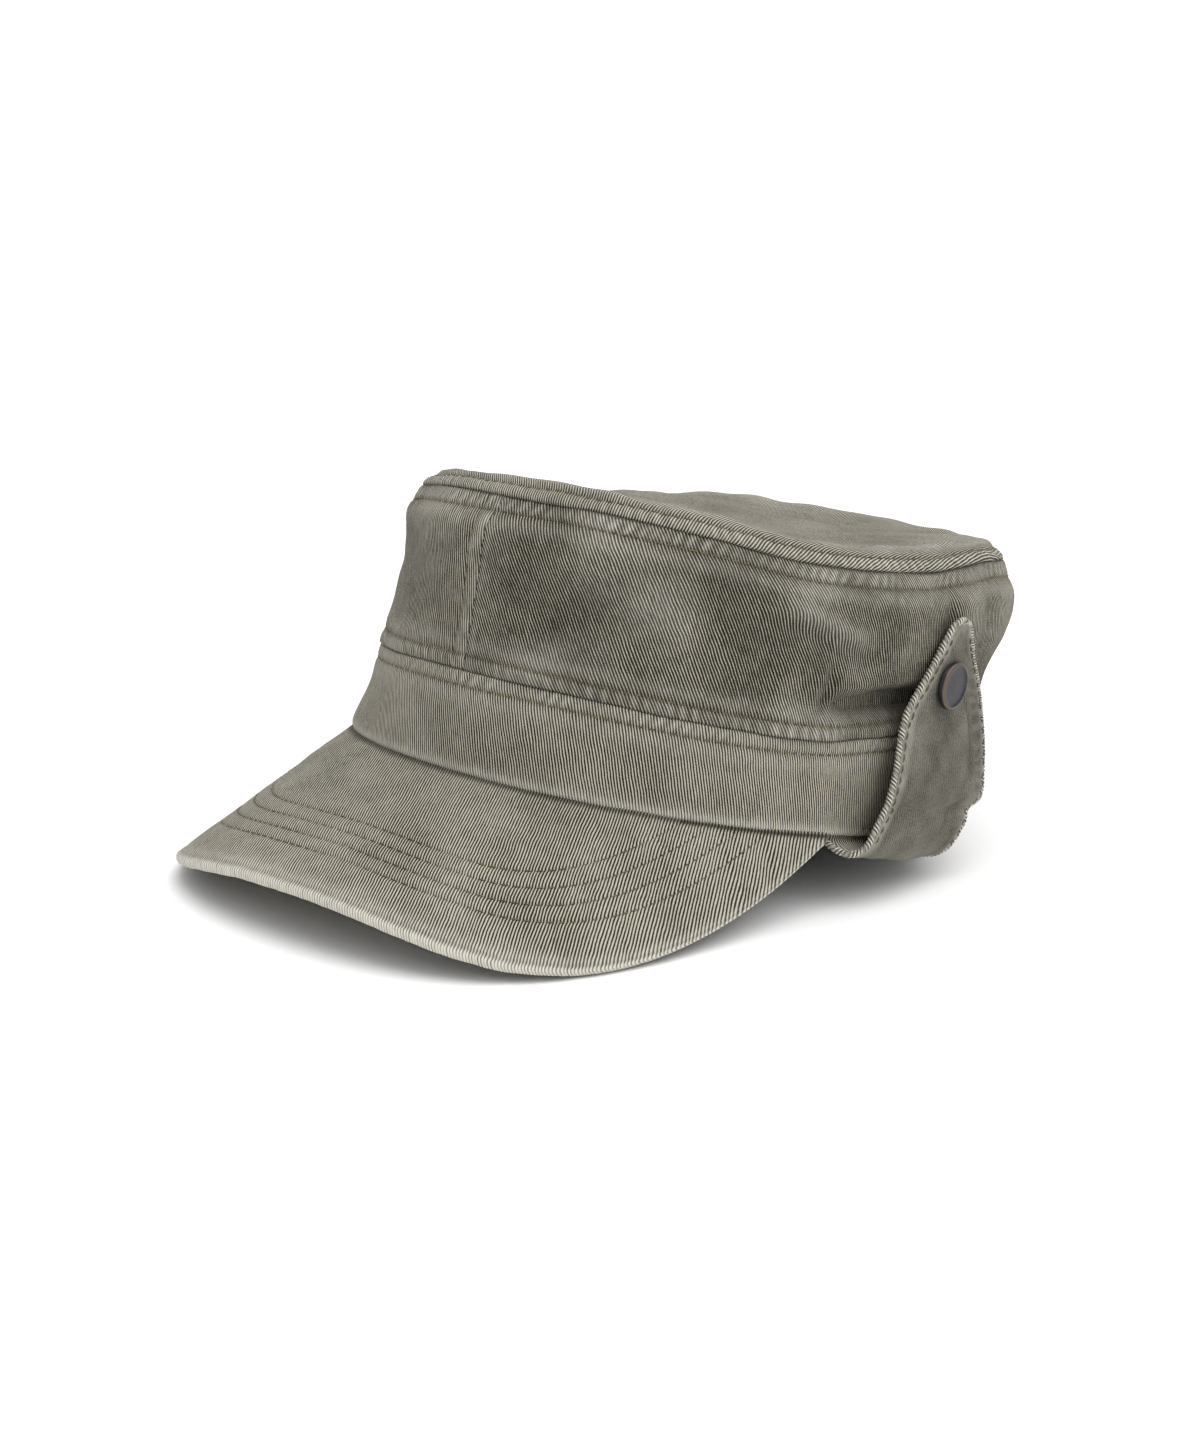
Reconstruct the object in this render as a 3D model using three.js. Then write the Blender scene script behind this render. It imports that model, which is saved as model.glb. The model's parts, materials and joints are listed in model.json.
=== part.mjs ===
// A soft cotton work cap: a flat-topped crown of two side pieces and a top panel, a band, a curved peak,
// and two ear flaps turned up over the band's lower edge and snapped to the crown's sides.
// Millimetres. The cap faces -Y with the wearer's left at +X. It is built upright about the middle of the
// band's lower edge, then tipped back until the peak and the back of the band rest on the plane z = 0.
import * as THREE from "three";

// Driving sizes
const BAND_HALF_LENGTH = 102;
const BAND_HALF_WIDTH = 84;
const BAND_HEIGHT = 30;
const CROWN_HEIGHT = 84; // from the band's lower edge to the top seam
const PLAN_ROUNDNESS = 2.2; // exponent of the plan outline: 2 is an ellipse, more is squarer
const CLOTH = 1.6; // one ply of twill with its seam allowance
const BAND_CLOTH = 2.2;
const SEAM_GAP = 0.3; // clearance between neighbouring pieces
const DENT_DEPTH = 4;

const RIM_RISE = 6.5; // the top panel stands this much above its seam
const RIM_WIDTH = 11;
const TOP_SAG = 6;
const TOP_DENT_FADE = 0.15; // share of the way in from the rim over which the top's dents start

const PEAK_LENGTH = 69.5;
const PEAK_THICKNESS = 3.2;
const PEAK_END_LENGTH = 4;
const PEAK_END_ANGLE = radians(83);
const PEAK_SLOPE = radians(32); // below the band's plane, at the middle
const PEAK_SLOPE_GAIN = 0.119; // more slope towards the ends, in radians per square radian
const PEAK_FAN = 0.16; // how far the peak's lengthwise lines spread towards the sides
const PEAK_SIDE_GAIN = 0.85; // extra length towards the sides, as a share per square radian

const FLAP_HEIGHT = 71; // tip above the band's lower edge
const FLAP_PLY = 1.1;
const FLAP_BULGE = 8.5; // how far the turned-up flap stands off the band
const FLAP_DROP = 5; // how far its fold hangs below the band
const FLAP_TUCK = 7; // how far its root runs up inside the band

const SNAP_RADIUS = 7.6;
const SNAP_CAP_HEIGHT = 2.4;
const SNAP_STUD_RADIUS = 5.5;
const SNAP_STUD_HEIGHT = 1.4;
const SNAP_LEVEL = 0.71; // share of FLAP_HEIGHT
const SNAP_ANGLE = radians(99.5);

// Plan outline at each level: shares of the band's half length and half width, and the backward shift
// of the outline's middle as a share of the half length.
const WALL_SECTIONS = [
  { level: 0.0, length: 1.0, width: 1.0, back: 0.0 },
  { level: 0.36, length: 1.012, width: 0.998, back: 0.012 },
  { level: 0.68, length: 1.035, width: 1.03, back: 0.03 },
  { level: 0.88, length: 1.055, width: 1.05, back: 0.042 },
  { level: 1.0, length: 1.04, width: 1.035, back: 0.045 },
];

// The seam between band and crown rises and falls a little: share of BAND_HEIGHT by angle from the front.
const BAND_LINE = [
  { angle: -110, rise: 0.05 },
  { angle: -65, rise: -0.04 },
  { angle: 0, rise: 0.01 },
  { angle: 20, rise: 0.025 },
  { angle: 66, rise: -0.04 },
  { angle: 82, rise: -0.015 },
  { angle: 97, rise: 0.09 },
  { angle: 130, rise: 0.08 },
  { angle: 180, rise: 0.02 },
];

// The top seam's rise as a share of CROWN_HEIGHT, and the rim's height as a share of RIM_RISE.
const TOP_LINE = [
  { angle: -150, rise: 0.025, rim: 0.68 },
  { angle: -130, rise: 0.0, rim: 0.75 },
  { angle: -108, rise: -0.05, rim: 0.7 },
  { angle: -80, rise: -0.05, rim: 0.7 },
  { angle: -45, rise: -0.055, rim: 0.75 },
  { angle: -20, rise: -0.02, rim: 0.85 },
  { angle: 0, rise: 0.0, rim: 1.0 },
  { angle: 18, rise: 0.012, rim: 1.1 },
  { angle: 45, rise: 0.0, rim: 0.95 },
  { angle: 66, rise: -0.032, rim: 1.1 },
  { angle: 90, rise: -0.012, rim: 1.05 },
  { angle: 112, rise: 0.055, rim: 0.75 },
  { angle: 135, rise: 0.06, rim: 0.7 },
  { angle: 180, rise: 0.05, rim: 0.7 },
];

// Dents and puffs of the crown's side: share of DENT_DEPTH, outwards if positive.
const WALL_DENTS = [
  { angle: 92, level: 0.5, spread: 13, tall: 0.08, depth: -1.0 },
  { angle: -92, level: 0.5, spread: 15, tall: 0.09, depth: -0.9 },
  { angle: 72, level: 0.72, spread: 14, tall: 0.16, depth: 0.35 },
  { angle: 40, level: 0.62, spread: 22, tall: 0.12, depth: -0.3 },
  { angle: -49, level: 0.78, spread: 28, tall: 0.22, depth: -0.9 },
  { angle: 133, level: 0.76, spread: 24, tall: 0.24, depth: 0.85 },
  { angle: -135, level: 0.66, spread: 20, tall: 0.14, depth: -0.4 },
];

// Soft hollows and swells of the top panel: share of DENT_DEPTH, up if positive; inward is 0 at the rim
// and 1 at the middle.
const TOP_DENTS = [
  { angle: 30, inward: 0.35, spread: 30, wide: 0.25, depth: -0.35 },
  { angle: 95, inward: 0.3, spread: 30, wide: 0.22, depth: -0.4 },
  { angle: 150, inward: 0.35, spread: 25, wide: 0.25, depth: 0.35 },
  { angle: -60, inward: 0.4, spread: 35, wide: 0.3, depth: -0.3 },
  { angle: -140, inward: 0.4, spread: 30, wide: 0.3, depth: 0.3 },
];

// The ear flap from its root inside the band, round the fold and up to its tip. off is how far the middle
// of the cloth stands off the band's outside and flare how much further its rear edge does, as shares of
// FLAP_BULGE; drop is a share of FLAP_DROP and height one of FLAP_HEIGHT; front and rear are its edges by
// angle.
const FLAP_ROOT = { front: 84.2, rear: 105 };
const FLAP_FOLD = [
  { off: -0.3, flare: 0, drop: 0.52, front: 84.3, rear: 106 },
  { off: 0.1, flare: 0, drop: 0.84, front: 84.9, rear: 107.5 },
  { off: 0.56, flare: 0, drop: 0.92, front: 86.0, rear: 109.5 },
  { off: 0.86, flare: 0.02, drop: 0.3, front: 87.6, rear: 111.0 },
];
const FLAP_LEAF = [
  { off: 0.94, flare: 0.06, height: 0.09, front: 88.8, rear: 112.5 },
  { off: 0.98, flare: 0.24, height: 0.2, front: 89.8, rear: 116.5 },
  { off: 0.9, flare: 0.42, height: 0.33, front: 90.2, rear: 121.5 },
  { off: 0.73, flare: 0.42, height: 0.46, front: 90.3, rear: 122.0 },
  { off: 0.54, flare: 0.24, height: 0.58, front: 90.9, rear: 118.5 },
  { off: 0.42, flare: 0.06, height: 0.7, front: 92.9, rear: 113.8 },
  { off: 0.34, flare: 0, height: 0.82, front: 94.9, rear: 108.3 },
  { off: 0.32, flare: 0, height: 0.92, front: 95.8, rear: 103.5 },
  { off: 0.33, flare: 0, height: 1.0, front: 97.3, rear: 100.2 },
];

const SMALL_STEP = 1e-3; // for the slopes of surfaces

// Steps of the faceted grids
const RING_STEPS = 72;
const WALL_STEPS = 6;
const RIM_STEPS = 4;
const TOP_STEPS = 4;
const BAND_STEPS = 2;
const PEAK_SIDE_STEPS = 36;
const PEAK_OUT_STEPS = 5;
const FLAP_ACROSS_STEPS = 9;
const FLAP_ALONG_STEPS = 18;
const SNAP_SIDES = 20;

const TWILL = new THREE.MeshStandardMaterial({ color: 0x7d7763, roughness: 0.95, metalness: 0 });
const LINING = new THREE.MeshStandardMaterial({ color: 0x6e6c5e, roughness: 0.97, metalness: 0 });
const GUNMETAL = new THREE.MeshStandardMaterial({ color: 0x4f4c4d, roughness: 0.42, metalness: 0.85 });

function radians(degrees) {
  return (degrees * Math.PI) / 180;
}

// A smooth curve through a table's rows: a cubic between neighbours whose slope at each row is the slope
// between the rows on either side. With a period the table closes on itself.
function tableCurve(rows, key, column, period) {
  const rowAt = (i) => {
    if (!period) return rows[Math.min(Math.max(i, 0), rows.length - 1)];
    const turns = Math.floor(i / rows.length);
    const row = rows[i - turns * rows.length];
    return { [key]: row[key] + turns * period, [column]: row[column] };
  };
  const slopeAt = (i) => {
    const [before, after] = [rowAt(i - 1), rowAt(i + 1)];
    return (after[column] - before[column]) / (after[key] - before[key]);
  };
  return (x) => {
    const at = period ? x - period * Math.floor((x - rows[0][key]) / period) : x;
    let i = 0;
    while (i < rows.length - (period ? 1 : 2) && rowAt(i + 1)[key] <= at) i += 1;
    const [from, to] = [rowAt(i), rowAt(i + 1)];
    const span = to[key] - from[key];
    const t = (at - from[key]) / span;
    const [t2, t3] = [t * t, t * t * t];
    return (
      (2 * t3 - 3 * t2 + 1) * from[column] +
      (t3 - 2 * t2 + t) * span * slopeAt(i) +
      (3 * t2 - 2 * t3) * to[column] +
      (t3 - t2) * span * slopeAt(i + 1)
    );
  };
}

const FULL_TURN = 360;
const section = {
  length: tableCurve(WALL_SECTIONS, "level", "length"),
  width: tableCurve(WALL_SECTIONS, "level", "width"),
  back: tableCurve(WALL_SECTIONS, "level", "back"),
};
const bandRise = tableCurve(BAND_LINE, "angle", "rise", FULL_TURN);
const topRise = tableCurve(TOP_LINE, "angle", "rise", FULL_TURN);
const rimShare = tableCurve(TOP_LINE, "angle", "rim", FULL_TURN);

const degrees = (angle) => (angle * 180) / Math.PI;
const topSeamHeight = (angle) => CROWN_HEIGHT * (1 + topRise(degrees(angle)));
const bandSeamLevel = (angle) => (BAND_HEIGHT * (1 + bandRise(degrees(angle)))) / topSeamHeight(angle);

// The sum of a table's bell-shaped humps. An angle's difference is taken the short way round.
function humps(rows, angle, at, atKey, sizeKey) {
  const one = (row) => {
    const ahead = THREE.MathUtils.euclideanModulo(degrees(angle) - row.angle, FULL_TURN);
    const turn = Math.min(ahead, FULL_TURN - ahead);
    return row.depth * Math.exp(-((turn / row.spread) ** 2) - ((at - row[atKey]) / row[sizeKey]) ** 2);
  };
  return rows.reduce((sum, row) => sum + one(row), 0);
}

// A point of the plan outline at a level, and its outward direction.
function outline(angle, level) {
  const power = 2 / PLAN_ROUNDNESS;
  const [s, c] = [Math.sin(angle), Math.cos(angle)];
  const x = Math.sign(s) * Math.abs(s) ** power;
  const y = -Math.sign(c) * Math.abs(c) ** power;
  const halfWidth = BAND_HALF_WIDTH * section.width(level);
  const halfLength = BAND_HALF_LENGTH * section.length(level);
  const back = BAND_HALF_LENGTH * section.back(level);
  const rise = PLAN_ROUNDNESS - 1;
  const outward = new THREE.Vector3(
    (Math.sign(x) * Math.abs(x) ** rise) / halfWidth,
    (Math.sign(y) * Math.abs(y) ** rise) / halfLength,
    0,
  ).normalize();
  return { point: new THREE.Vector3(x * halfWidth, back + y * halfLength, 0), outward };
}

// The cap's outside below the top seam, with its dents; off moves it outwards.
function wallPoint(angle, level, off = 0) {
  const { point, outward } = outline(angle, level);
  point.addScaledVector(outward, off + DENT_DEPTH * humps(WALL_DENTS, angle, level, "level", "tall"));
  return point.setZ(level * topSeamHeight(angle));
}

// The same outside without dents, at a height in millimetres, which the ear flaps follow.
function smoothWallPoint(angle, height, off) {
  const level = Math.min(Math.max(height / CROWN_HEIGHT, 0), 1);
  const { point, outward } = outline(angle, level);
  return point.addScaledVector(outward, off).setZ(height);
}

// The top panel's outside: a quarter-round rim above the seam, then a slack surface that sags to the middle.
// inward is 0 at the seam and 1 at the middle.
function topPoint(angle, inward) {
  const seam = wallPoint(angle, 1);
  const middle = new THREE.Vector3(0, BAND_HALF_LENGTH * section.back(1), 0);
  const radius = Math.hypot(seam.x - middle.x, seam.y - middle.y);
  const across = radius * inward;
  const quarter = 1 - Math.min(across / RIM_WIDTH, 1);
  const rimRise = RIM_RISE * rimShare(degrees(angle)) * Math.sqrt(1 - quarter * quarter);
  const rim = topSeamHeight(angle) + SEAM_GAP + rimRise;
  const centre = CROWN_HEIGHT + RIM_RISE - TOP_SAG;
  const beyond = Math.max(0, (across - RIM_WIDTH) / (radius - RIM_WIDTH));
  const settle = beyond * (2 - beyond);
  const fade = Math.min(1, beyond / TOP_DENT_FADE) * Math.sqrt(1 - beyond);
  const dents = DENT_DEPTH * fade * humps(TOP_DENTS, angle, beyond, "inward", "wide");
  return seam.lerp(middle, inward).setZ(THREE.MathUtils.lerp(rim, centre, settle) + dents);
}

// The peak's upper side: straight lines that leave the band's lower edge forwards and down.
function peakPoint(angle, outwardShare) {
  const { point } = outline(angle, 0);
  const turn = PEAK_FAN * angle;
  const slope = PEAK_SLOPE + PEAK_SLOPE_GAIN * angle * angle;
  const along = new THREE.Vector3(
    Math.sin(turn) * Math.cos(slope),
    -Math.cos(turn) * Math.cos(slope),
    -Math.sin(slope),
  );
  return point.setZ(-SEAM_GAP).addScaledVector(along, outwardShare * peakReach(angle));
}

function peakReach(angle) {
  const fade = 1 - (angle / PEAK_END_ANGLE) ** 2;
  const side = 1 + PEAK_SIDE_GAIN * angle ** 2;
  return PEAK_END_LENGTH + (PEAK_LENGTH - PEAK_END_LENGTH) * side * fade;
}

// The flap's rows in one list, with lengths in millimetres and a running number as their key.
const FLAP_SHEET = 2 * FLAP_PLY + SEAM_GAP;
const FLAP_ROOT_OFF = -(BAND_CLOTH + SEAM_GAP + FLAP_SHEET / 2);
const flapRow = (row, height) => ({
  ...row,
  off: row.off * FLAP_BULGE,
  flare: row.flare * FLAP_BULGE,
  height,
});
const FLAP_ROWS = [
  { ...FLAP_ROOT, off: FLAP_ROOT_OFF, flare: 0, height: FLAP_TUCK },
  { ...FLAP_ROOT, off: FLAP_ROOT_OFF, flare: 0, height: 0 },
  ...FLAP_FOLD.map((row) => flapRow(row, -row.drop * FLAP_DROP)),
  ...FLAP_LEAF.map((row) => flapRow(row, row.height * FLAP_HEIGHT)),
].map((row, number) => ({ ...row, number }));
const FLAP_LAST_ROW = FLAP_ROWS.length - 1;
const flapCurve = Object.fromEntries(
  ["off", "flare", "height", "front", "rear"].map((column) => [
    column,
    tableCurve(FLAP_ROWS, "number", column),
  ]),
);

// A point of the left flap's middle surface: across is 0 at its front edge and 1 at its rear one, and along
// is 0 at its root and 1 at its tip.
function flapPoint(across, along) {
  const at = along * FLAP_LAST_ROW;
  const angle = radians(THREE.MathUtils.lerp(flapCurve.front(at), flapCurve.rear(at), across));
  const off = flapCurve.off(at) + flapCurve.flare(at) * across * across;
  return smoothWallPoint(angle, flapCurve.height(at), off);
}

function normalAt(surface, u, v) {
  const here = surface(u, v);
  const alongU = surface(u + SMALL_STEP, v).sub(here);
  const alongV = surface(u, v + SMALL_STEP).sub(here);
  return alongU.cross(alongV).normalize();
}

// Rows of points of a surface, each moved along its normal by off.
function grid(surface, us, vs, off) {
  const [lastU, lastV] = [us.at(-1) - SMALL_STEP, vs.at(-1) - SMALL_STEP];
  return us.map((u) =>
    vs.map((v) => {
      const normal = normalAt(surface, Math.min(u, lastU), Math.min(v, lastV));
      return surface(u, v).addScaledVector(normal, off);
    }),
  );
}

function steps(from, to, count) {
  return Array.from({ length: count + 1 }, (_, i) => from + ((to - from) * i) / count);
}

// The closed body between two grids of points. wraps closes it round; pole joins each grid's last column
// into one point.
function bodyBetween(face, reverse, { wraps = false, pole = false } = {}) {
  const [rows, columns] = [face.length, face[0].length];
  const corner = (side, i, j) => {
    const row = pole && j === columns - 1 ? 0 : i % rows;
    return (side * rows + row) * columns + j;
  };
  const index = [];
  const quad = (...corners) => {
    const [a, b, c, d] = corners;
    for (const triangle of [[a, b, c], [a, c, d]]) {
      if (new Set(triangle).size === 3) index.push(...triangle);
    }
  };
  const around = wraps ? rows : rows - 1;
  for (let i = 0; i < around; i += 1) {
    for (let j = 0; j < columns - 1; j += 1) {
      quad(corner(0, i, j), corner(0, i + 1, j), corner(0, i + 1, j + 1), corner(0, i, j + 1));
      quad(corner(1, i, j), corner(1, i, j + 1), corner(1, i + 1, j + 1), corner(1, i + 1, j));
    }
    quad(corner(0, i, 0), corner(1, i, 0), corner(1, i + 1, 0), corner(0, i + 1, 0));
    if (!pole) {
      const last = columns - 1;
      quad(corner(0, i, last), corner(0, i + 1, last), corner(1, i + 1, last), corner(1, i, last));
    }
  }
  for (let j = 0; j < columns - 1 && !wraps; j += 1) {
    const last = rows - 1;
    quad(corner(0, 0, j), corner(0, 0, j + 1), corner(1, 0, j + 1), corner(1, 0, j));
    quad(corner(0, last, j), corner(1, last, j), corner(1, last, j + 1), corner(0, last, j + 1));
  }
  const points = [face, reverse].flat(2);
  if (signedVolume(points, index) < 0) index.reverse();
  const geometry = new THREE.BufferGeometry().setFromPoints(points).setIndex(index);
  geometry.computeVertexNormals();
  return geometry;
}

function signedVolume(points, index) {
  let six = 0;
  for (let i = 0; i < index.length; i += 3) {
    const [a, b, c] = [points[index[i]], points[index[i + 1]], points[index[i + 2]]];
    six += a.dot(b.clone().cross(c));
  }
  return six / 6;
}

// The band: a ring of cloth between its lower edge and the band seam.
function makeBand() {
  const rings = steps(0, 2 * Math.PI, RING_STEPS).slice(0, -1);
  const levels = steps(0, 1, BAND_STEPS);
  const side = (off) =>
    rings.map((angle) =>
      levels.map((share) => wallPoint(angle, share * bandSeamLevel(angle), off)),
    );
  return bodyBetween(side(0), side(-BAND_CLOTH), { wraps: true });
}

// One side of the crown, from the front seam round to the back seam. turn is 1 on the wearer's left.
function makeCrownSide(turn) {
  const edge = Math.asin((SEAM_GAP / 2 / BAND_HALF_WIDTH) ** (PLAN_ROUNDNESS / 2));
  const angles = steps(0, Math.PI, RING_STEPS / 2);
  angles[0] = edge;
  angles[angles.length - 1] = Math.PI - edge;
  const side = (off) =>
    angles.map((plain) => {
      const angle = turn * plain;
      const lowest = bandSeamLevel(angle) + SEAM_GAP / topSeamHeight(angle);
      return steps(lowest, 1, WALL_STEPS).map((level) => wallPoint(angle, level, off));
    });
  return bodyBetween(side(0), side(-CLOTH));
}

// The top panel: a pole in the middle and finer steps round its rim.
function makeTopPanel() {
  const rings = steps(0, 2 * Math.PI, RING_STEPS);
  const rim = steps(0, RIM_WIDTH / BAND_HALF_WIDTH, RIM_STEPS);
  const inner = steps(rim.at(-1), 1, TOP_STEPS).slice(1);
  const inwards = [...rim.map((share) => share * (share / rim.at(-1))), ...inner];
  const outside = rings.slice(0, -1).map((angle) => inwards.map((inward) => topPoint(angle, inward)));
  const inside = outside.map((row, i) =>
    row.map((point, j) => {
      if (j === 0) return point.clone().addScaledVector(outline(rings[i], 1).outward, -CLOTH);
      if (j === row.length - 1) return point.clone().setZ(point.z - CLOTH);
      const next = outside[(i + 1) % outside.length][j];
      const before = outside[(i + outside.length - 1) % outside.length][j];
      const round = next.clone().sub(before);
      const across = row[j + 1].clone().sub(row[j - 1]);
      return point.clone().addScaledVector(round.cross(across).normalize(), -CLOTH);
    }),
  );
  return bodyBetween(outside, inside, { wraps: true, pole: true });
}

function makePeak() {
  const angles = steps(-PEAK_END_ANGLE, PEAK_END_ANGLE, PEAK_SIDE_STEPS);
  const shares = steps(0, 1, PEAK_OUT_STEPS);
  return bodyBetween(grid(peakPoint, angles, shares, 0), grid(peakPoint, angles, shares, PEAK_THICKNESS));
}

// One ply of a flap, between two distances from the flap's middle surface. turn is 1 on the wearer's left.
function makeFlapPly(turn, inner, outer) {
  const acrosses = steps(0, 1, FLAP_ACROSS_STEPS);
  const alongs = steps(0, 1, FLAP_ALONG_STEPS);
  const mirror = (rows) => rows.map((row) => row.map((point) => point.setX(turn * point.x)));
  const side = (off) => mirror(grid(flapPoint, acrosses, alongs, off));
  return bodyBetween(side(inner), side(outer));
}

// Where the flap's snap sits: the middle surface there and its outward direction.
function snapSeat() {
  let [low, high] = [FLAP_LAST_ROW - FLAP_LEAF.length, FLAP_LAST_ROW];
  for (let halving = 0; halving < 30; halving += 1) {
    const at = (low + high) / 2;
    if (flapCurve.height(at) < SNAP_LEVEL * FLAP_HEIGHT) low = at;
    else high = at;
  }
  const [front, rear] = [radians(flapCurve.front(low)), radians(flapCurve.rear(low))];
  const across = (SNAP_ANGLE - front) / (rear - front);
  const along = low / FLAP_LAST_ROW;
  return { point: flapPoint(across, along), outward: normalAt(flapPoint, across, along) };
}

// A turned piece of the snap, off from the seat. turn is 1 on the wearer's left.
function makeSnapPiece(name, geometry, turn, off) {
  const { point, outward } = snapSeat();
  const facing = outward.setX(turn * outward.x);
  const mesh = named(name, geometry, GUNMETAL);
  mesh.quaternion.setFromUnitVectors(new THREE.Vector3(0, 1, 0), facing);
  mesh.position.set(turn * point.x, point.y, point.z).addScaledVector(facing, off);
  return mesh;
}

// A low dome with a rolled edge, lying on the flap: shares of its radius and its height.
const SNAP_CAP_PROFILE = [
  { out: 0, up: 0 },
  { out: 0.9, up: 0 },
  { out: 1, up: 0.3 },
  { out: 1, up: 0.7 },
  { out: 0.93, up: 0.95 },
  { out: 0.84, up: 0.95 },
  { out: 0.76, up: 0.75 },
  { out: 0.4, up: 0.88 },
  { out: 0, up: 0.92 },
];

// The hidden socket and stud between the flap and the crown, as one plain stepped disc.
const SNAP_STUD_PROFILE = [
  { out: 0, up: 0 },
  { out: 0.8, up: 0 },
  { out: 0.8, up: 0.45 },
  { out: 1, up: 0.45 },
  { out: 1, up: 1 },
  { out: 0, up: 1 },
];

function turned(rows, radius, height) {
  const profile = rows.map((row) => new THREE.Vector2(row.out * radius, row.up * height));
  return new THREE.LatheGeometry(profile, SNAP_SIDES);
}

function named(name, geometry, material) {
  const mesh = new THREE.Mesh(geometry, material);
  mesh.name = name;
  return mesh;
}

function makeFlap(side, turn) {
  const [near, far] = [SEAM_GAP / 2, SEAM_GAP / 2 + FLAP_PLY];
  const capFoot = FLAP_SHEET / 2 + SEAM_GAP;
  const studFoot = -capFoot - SNAP_STUD_HEIGHT;
  const snapCap = turned(SNAP_CAP_PROFILE, SNAP_RADIUS, SNAP_CAP_HEIGHT);
  const snapStud = turned(SNAP_STUD_PROFILE, SNAP_STUD_RADIUS, SNAP_STUD_HEIGHT);
  return [
    named("ear_flap_face_" + side, makeFlapPly(turn, -far, -near), TWILL),
    named("ear_flap_lining_" + side, makeFlapPly(turn, near, far), LINING),
    makeSnapPiece("snap_cap_" + side, snapCap, turn, capFoot),
    makeSnapPiece("snap_stud_" + side, snapStud, turn, studFoot),
  ];
}

// Every corner of the cap, in the upright cap's frame.
function allPoints(cap) {
  cap.updateMatrixWorld(true);
  return cap.children.flatMap((mesh) => {
    const at = mesh.geometry.getAttribute("position");
    return Array.from({ length: at.count }, (_, i) =>
      new THREE.Vector3().fromBufferAttribute(at, i).applyMatrix4(mesh.matrixWorld),
    );
  });
}

// The backward tilt at which the lowest points of the front and back halves lie at one height.
function restTilt(points) {
  const lowest = (half, tilt) =>
    Math.min(...half.map((p) => p.z * Math.cos(tilt) - p.y * Math.sin(tilt)));
  const [front, back] = [points.filter((p) => p.y < 0), points.filter((p) => p.y >= 0)];
  let [low, high] = [0, Math.PI / 4];
  for (let halving = 0; halving < 40; halving += 1) {
    const tilt = (low + high) / 2;
    if (lowest(front, tilt) < lowest(back, tilt)) low = tilt;
    else high = tilt;
  }
  return (low + high) / 2;
}

const upright = new THREE.Group();
upright.add(
  named("band", makeBand(), TWILL),
  named("crown_side_left", makeCrownSide(1), TWILL),
  named("crown_side_right", makeCrownSide(-1), TWILL),
  named("top_panel", makeTopPanel(), TWILL),
  named("peak", makePeak(), TWILL),
  ...makeFlap("left", 1),
  ...makeFlap("right", -1),
);
upright.rotation.x = -restTilt(allPoints(upright));

// The part's origin is the middle of its box's floor.
const box = new THREE.Box3().setFromPoints(allPoints(upright));
const middle = box.getCenter(new THREE.Vector3());
upright.position.set(-middle.x, -middle.y, -box.min.z);

const cap = new THREE.Group();
cap.add(upright);
export default cap;
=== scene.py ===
"""A washed cotton work cap: soft crown, band, stitched peak and snapped-up ear flaps.

Shapes are worked out in millimetres about the upright cap: the origin is the middle of the band's lower
edge, +X is the wearer's left, -Y the front and +Z up. Placement turns them into the frame's metres.
"""

import json
import logging
import math
from dataclasses import dataclass, field
from enum import Enum
from typing import NamedTuple, Optional, Sequence, Union

import bmesh
import bpy
import numpy as np
from mathutils import Matrix, Vector

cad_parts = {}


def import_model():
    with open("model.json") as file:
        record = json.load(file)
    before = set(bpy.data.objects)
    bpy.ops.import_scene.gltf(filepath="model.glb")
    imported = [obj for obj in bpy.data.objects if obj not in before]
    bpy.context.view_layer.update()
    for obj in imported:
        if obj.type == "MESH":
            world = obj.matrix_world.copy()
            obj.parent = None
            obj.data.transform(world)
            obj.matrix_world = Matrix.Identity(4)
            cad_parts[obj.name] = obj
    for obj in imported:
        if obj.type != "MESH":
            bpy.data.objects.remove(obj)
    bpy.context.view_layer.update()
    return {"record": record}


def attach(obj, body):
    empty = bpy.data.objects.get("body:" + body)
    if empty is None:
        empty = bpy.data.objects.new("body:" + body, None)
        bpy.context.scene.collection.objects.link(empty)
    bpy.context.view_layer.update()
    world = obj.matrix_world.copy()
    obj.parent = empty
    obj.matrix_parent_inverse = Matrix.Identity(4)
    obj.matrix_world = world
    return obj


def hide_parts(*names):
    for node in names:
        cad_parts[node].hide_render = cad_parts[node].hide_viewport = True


LOG = logging.getLogger("work_cap")
Array = np.ndarray
FULL_TURN = 360.0
MM = 0.001
INNER_SHADE = 0.25
STRIP = np.array([[-0.4, 0.0, 0.4]])


class Side(Enum):
    """The wearer's left or right, with the sign of its X."""

    LEFT = 1
    RIGHT = -1

    @property
    def word(self) -> str:
        """Returns the side's name as the nodes spell it."""
        return self.name.lower()


class Section(NamedTuple):
    """The plan outline at a level, as shares of the band's half length and half width."""

    level: float
    length: float
    width: float
    back: float


class SeamRow(NamedTuple):
    """How a seam rises at an angle from the front, and the rim's height there."""

    angle: float
    rise: float
    rim: float = 1.0


class Hump(NamedTuple):
    """A bell-shaped dent or puff: its place, its spread in degrees, its size and its share of the depth."""

    angle: float
    at: float
    spread: float
    size: float
    depth: float


class Crease(NamedTuple):
    """A straight fold on the crown's side from one place to another, in degrees and millimetres."""

    angle: float
    height: float
    to_angle: float
    to_height: float
    width: float
    depth: float


class FlapRow(NamedTuple):
    """A row of the ear flap from its root to its tip, in degrees and millimetres."""

    off: float
    flare: float
    height: float
    front: float
    rear: float


class NoiseLayer(NamedTuple):
    """A layer of smooth noise: its depth and wavelength in millimetres, and its seed."""

    depth: float
    wavelength: float
    seed: int


class SnapRow(NamedTuple):
    """A row of the snap's turned outline, as shares of its radius and its rise."""

    share: float
    radius: float
    rise: float


class Lamp(NamedTuple):
    """A square soft light: its place and its side in metres, and its power in watts."""

    name: str
    place: tuple[float, float, float]
    size: float
    watts: float


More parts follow.
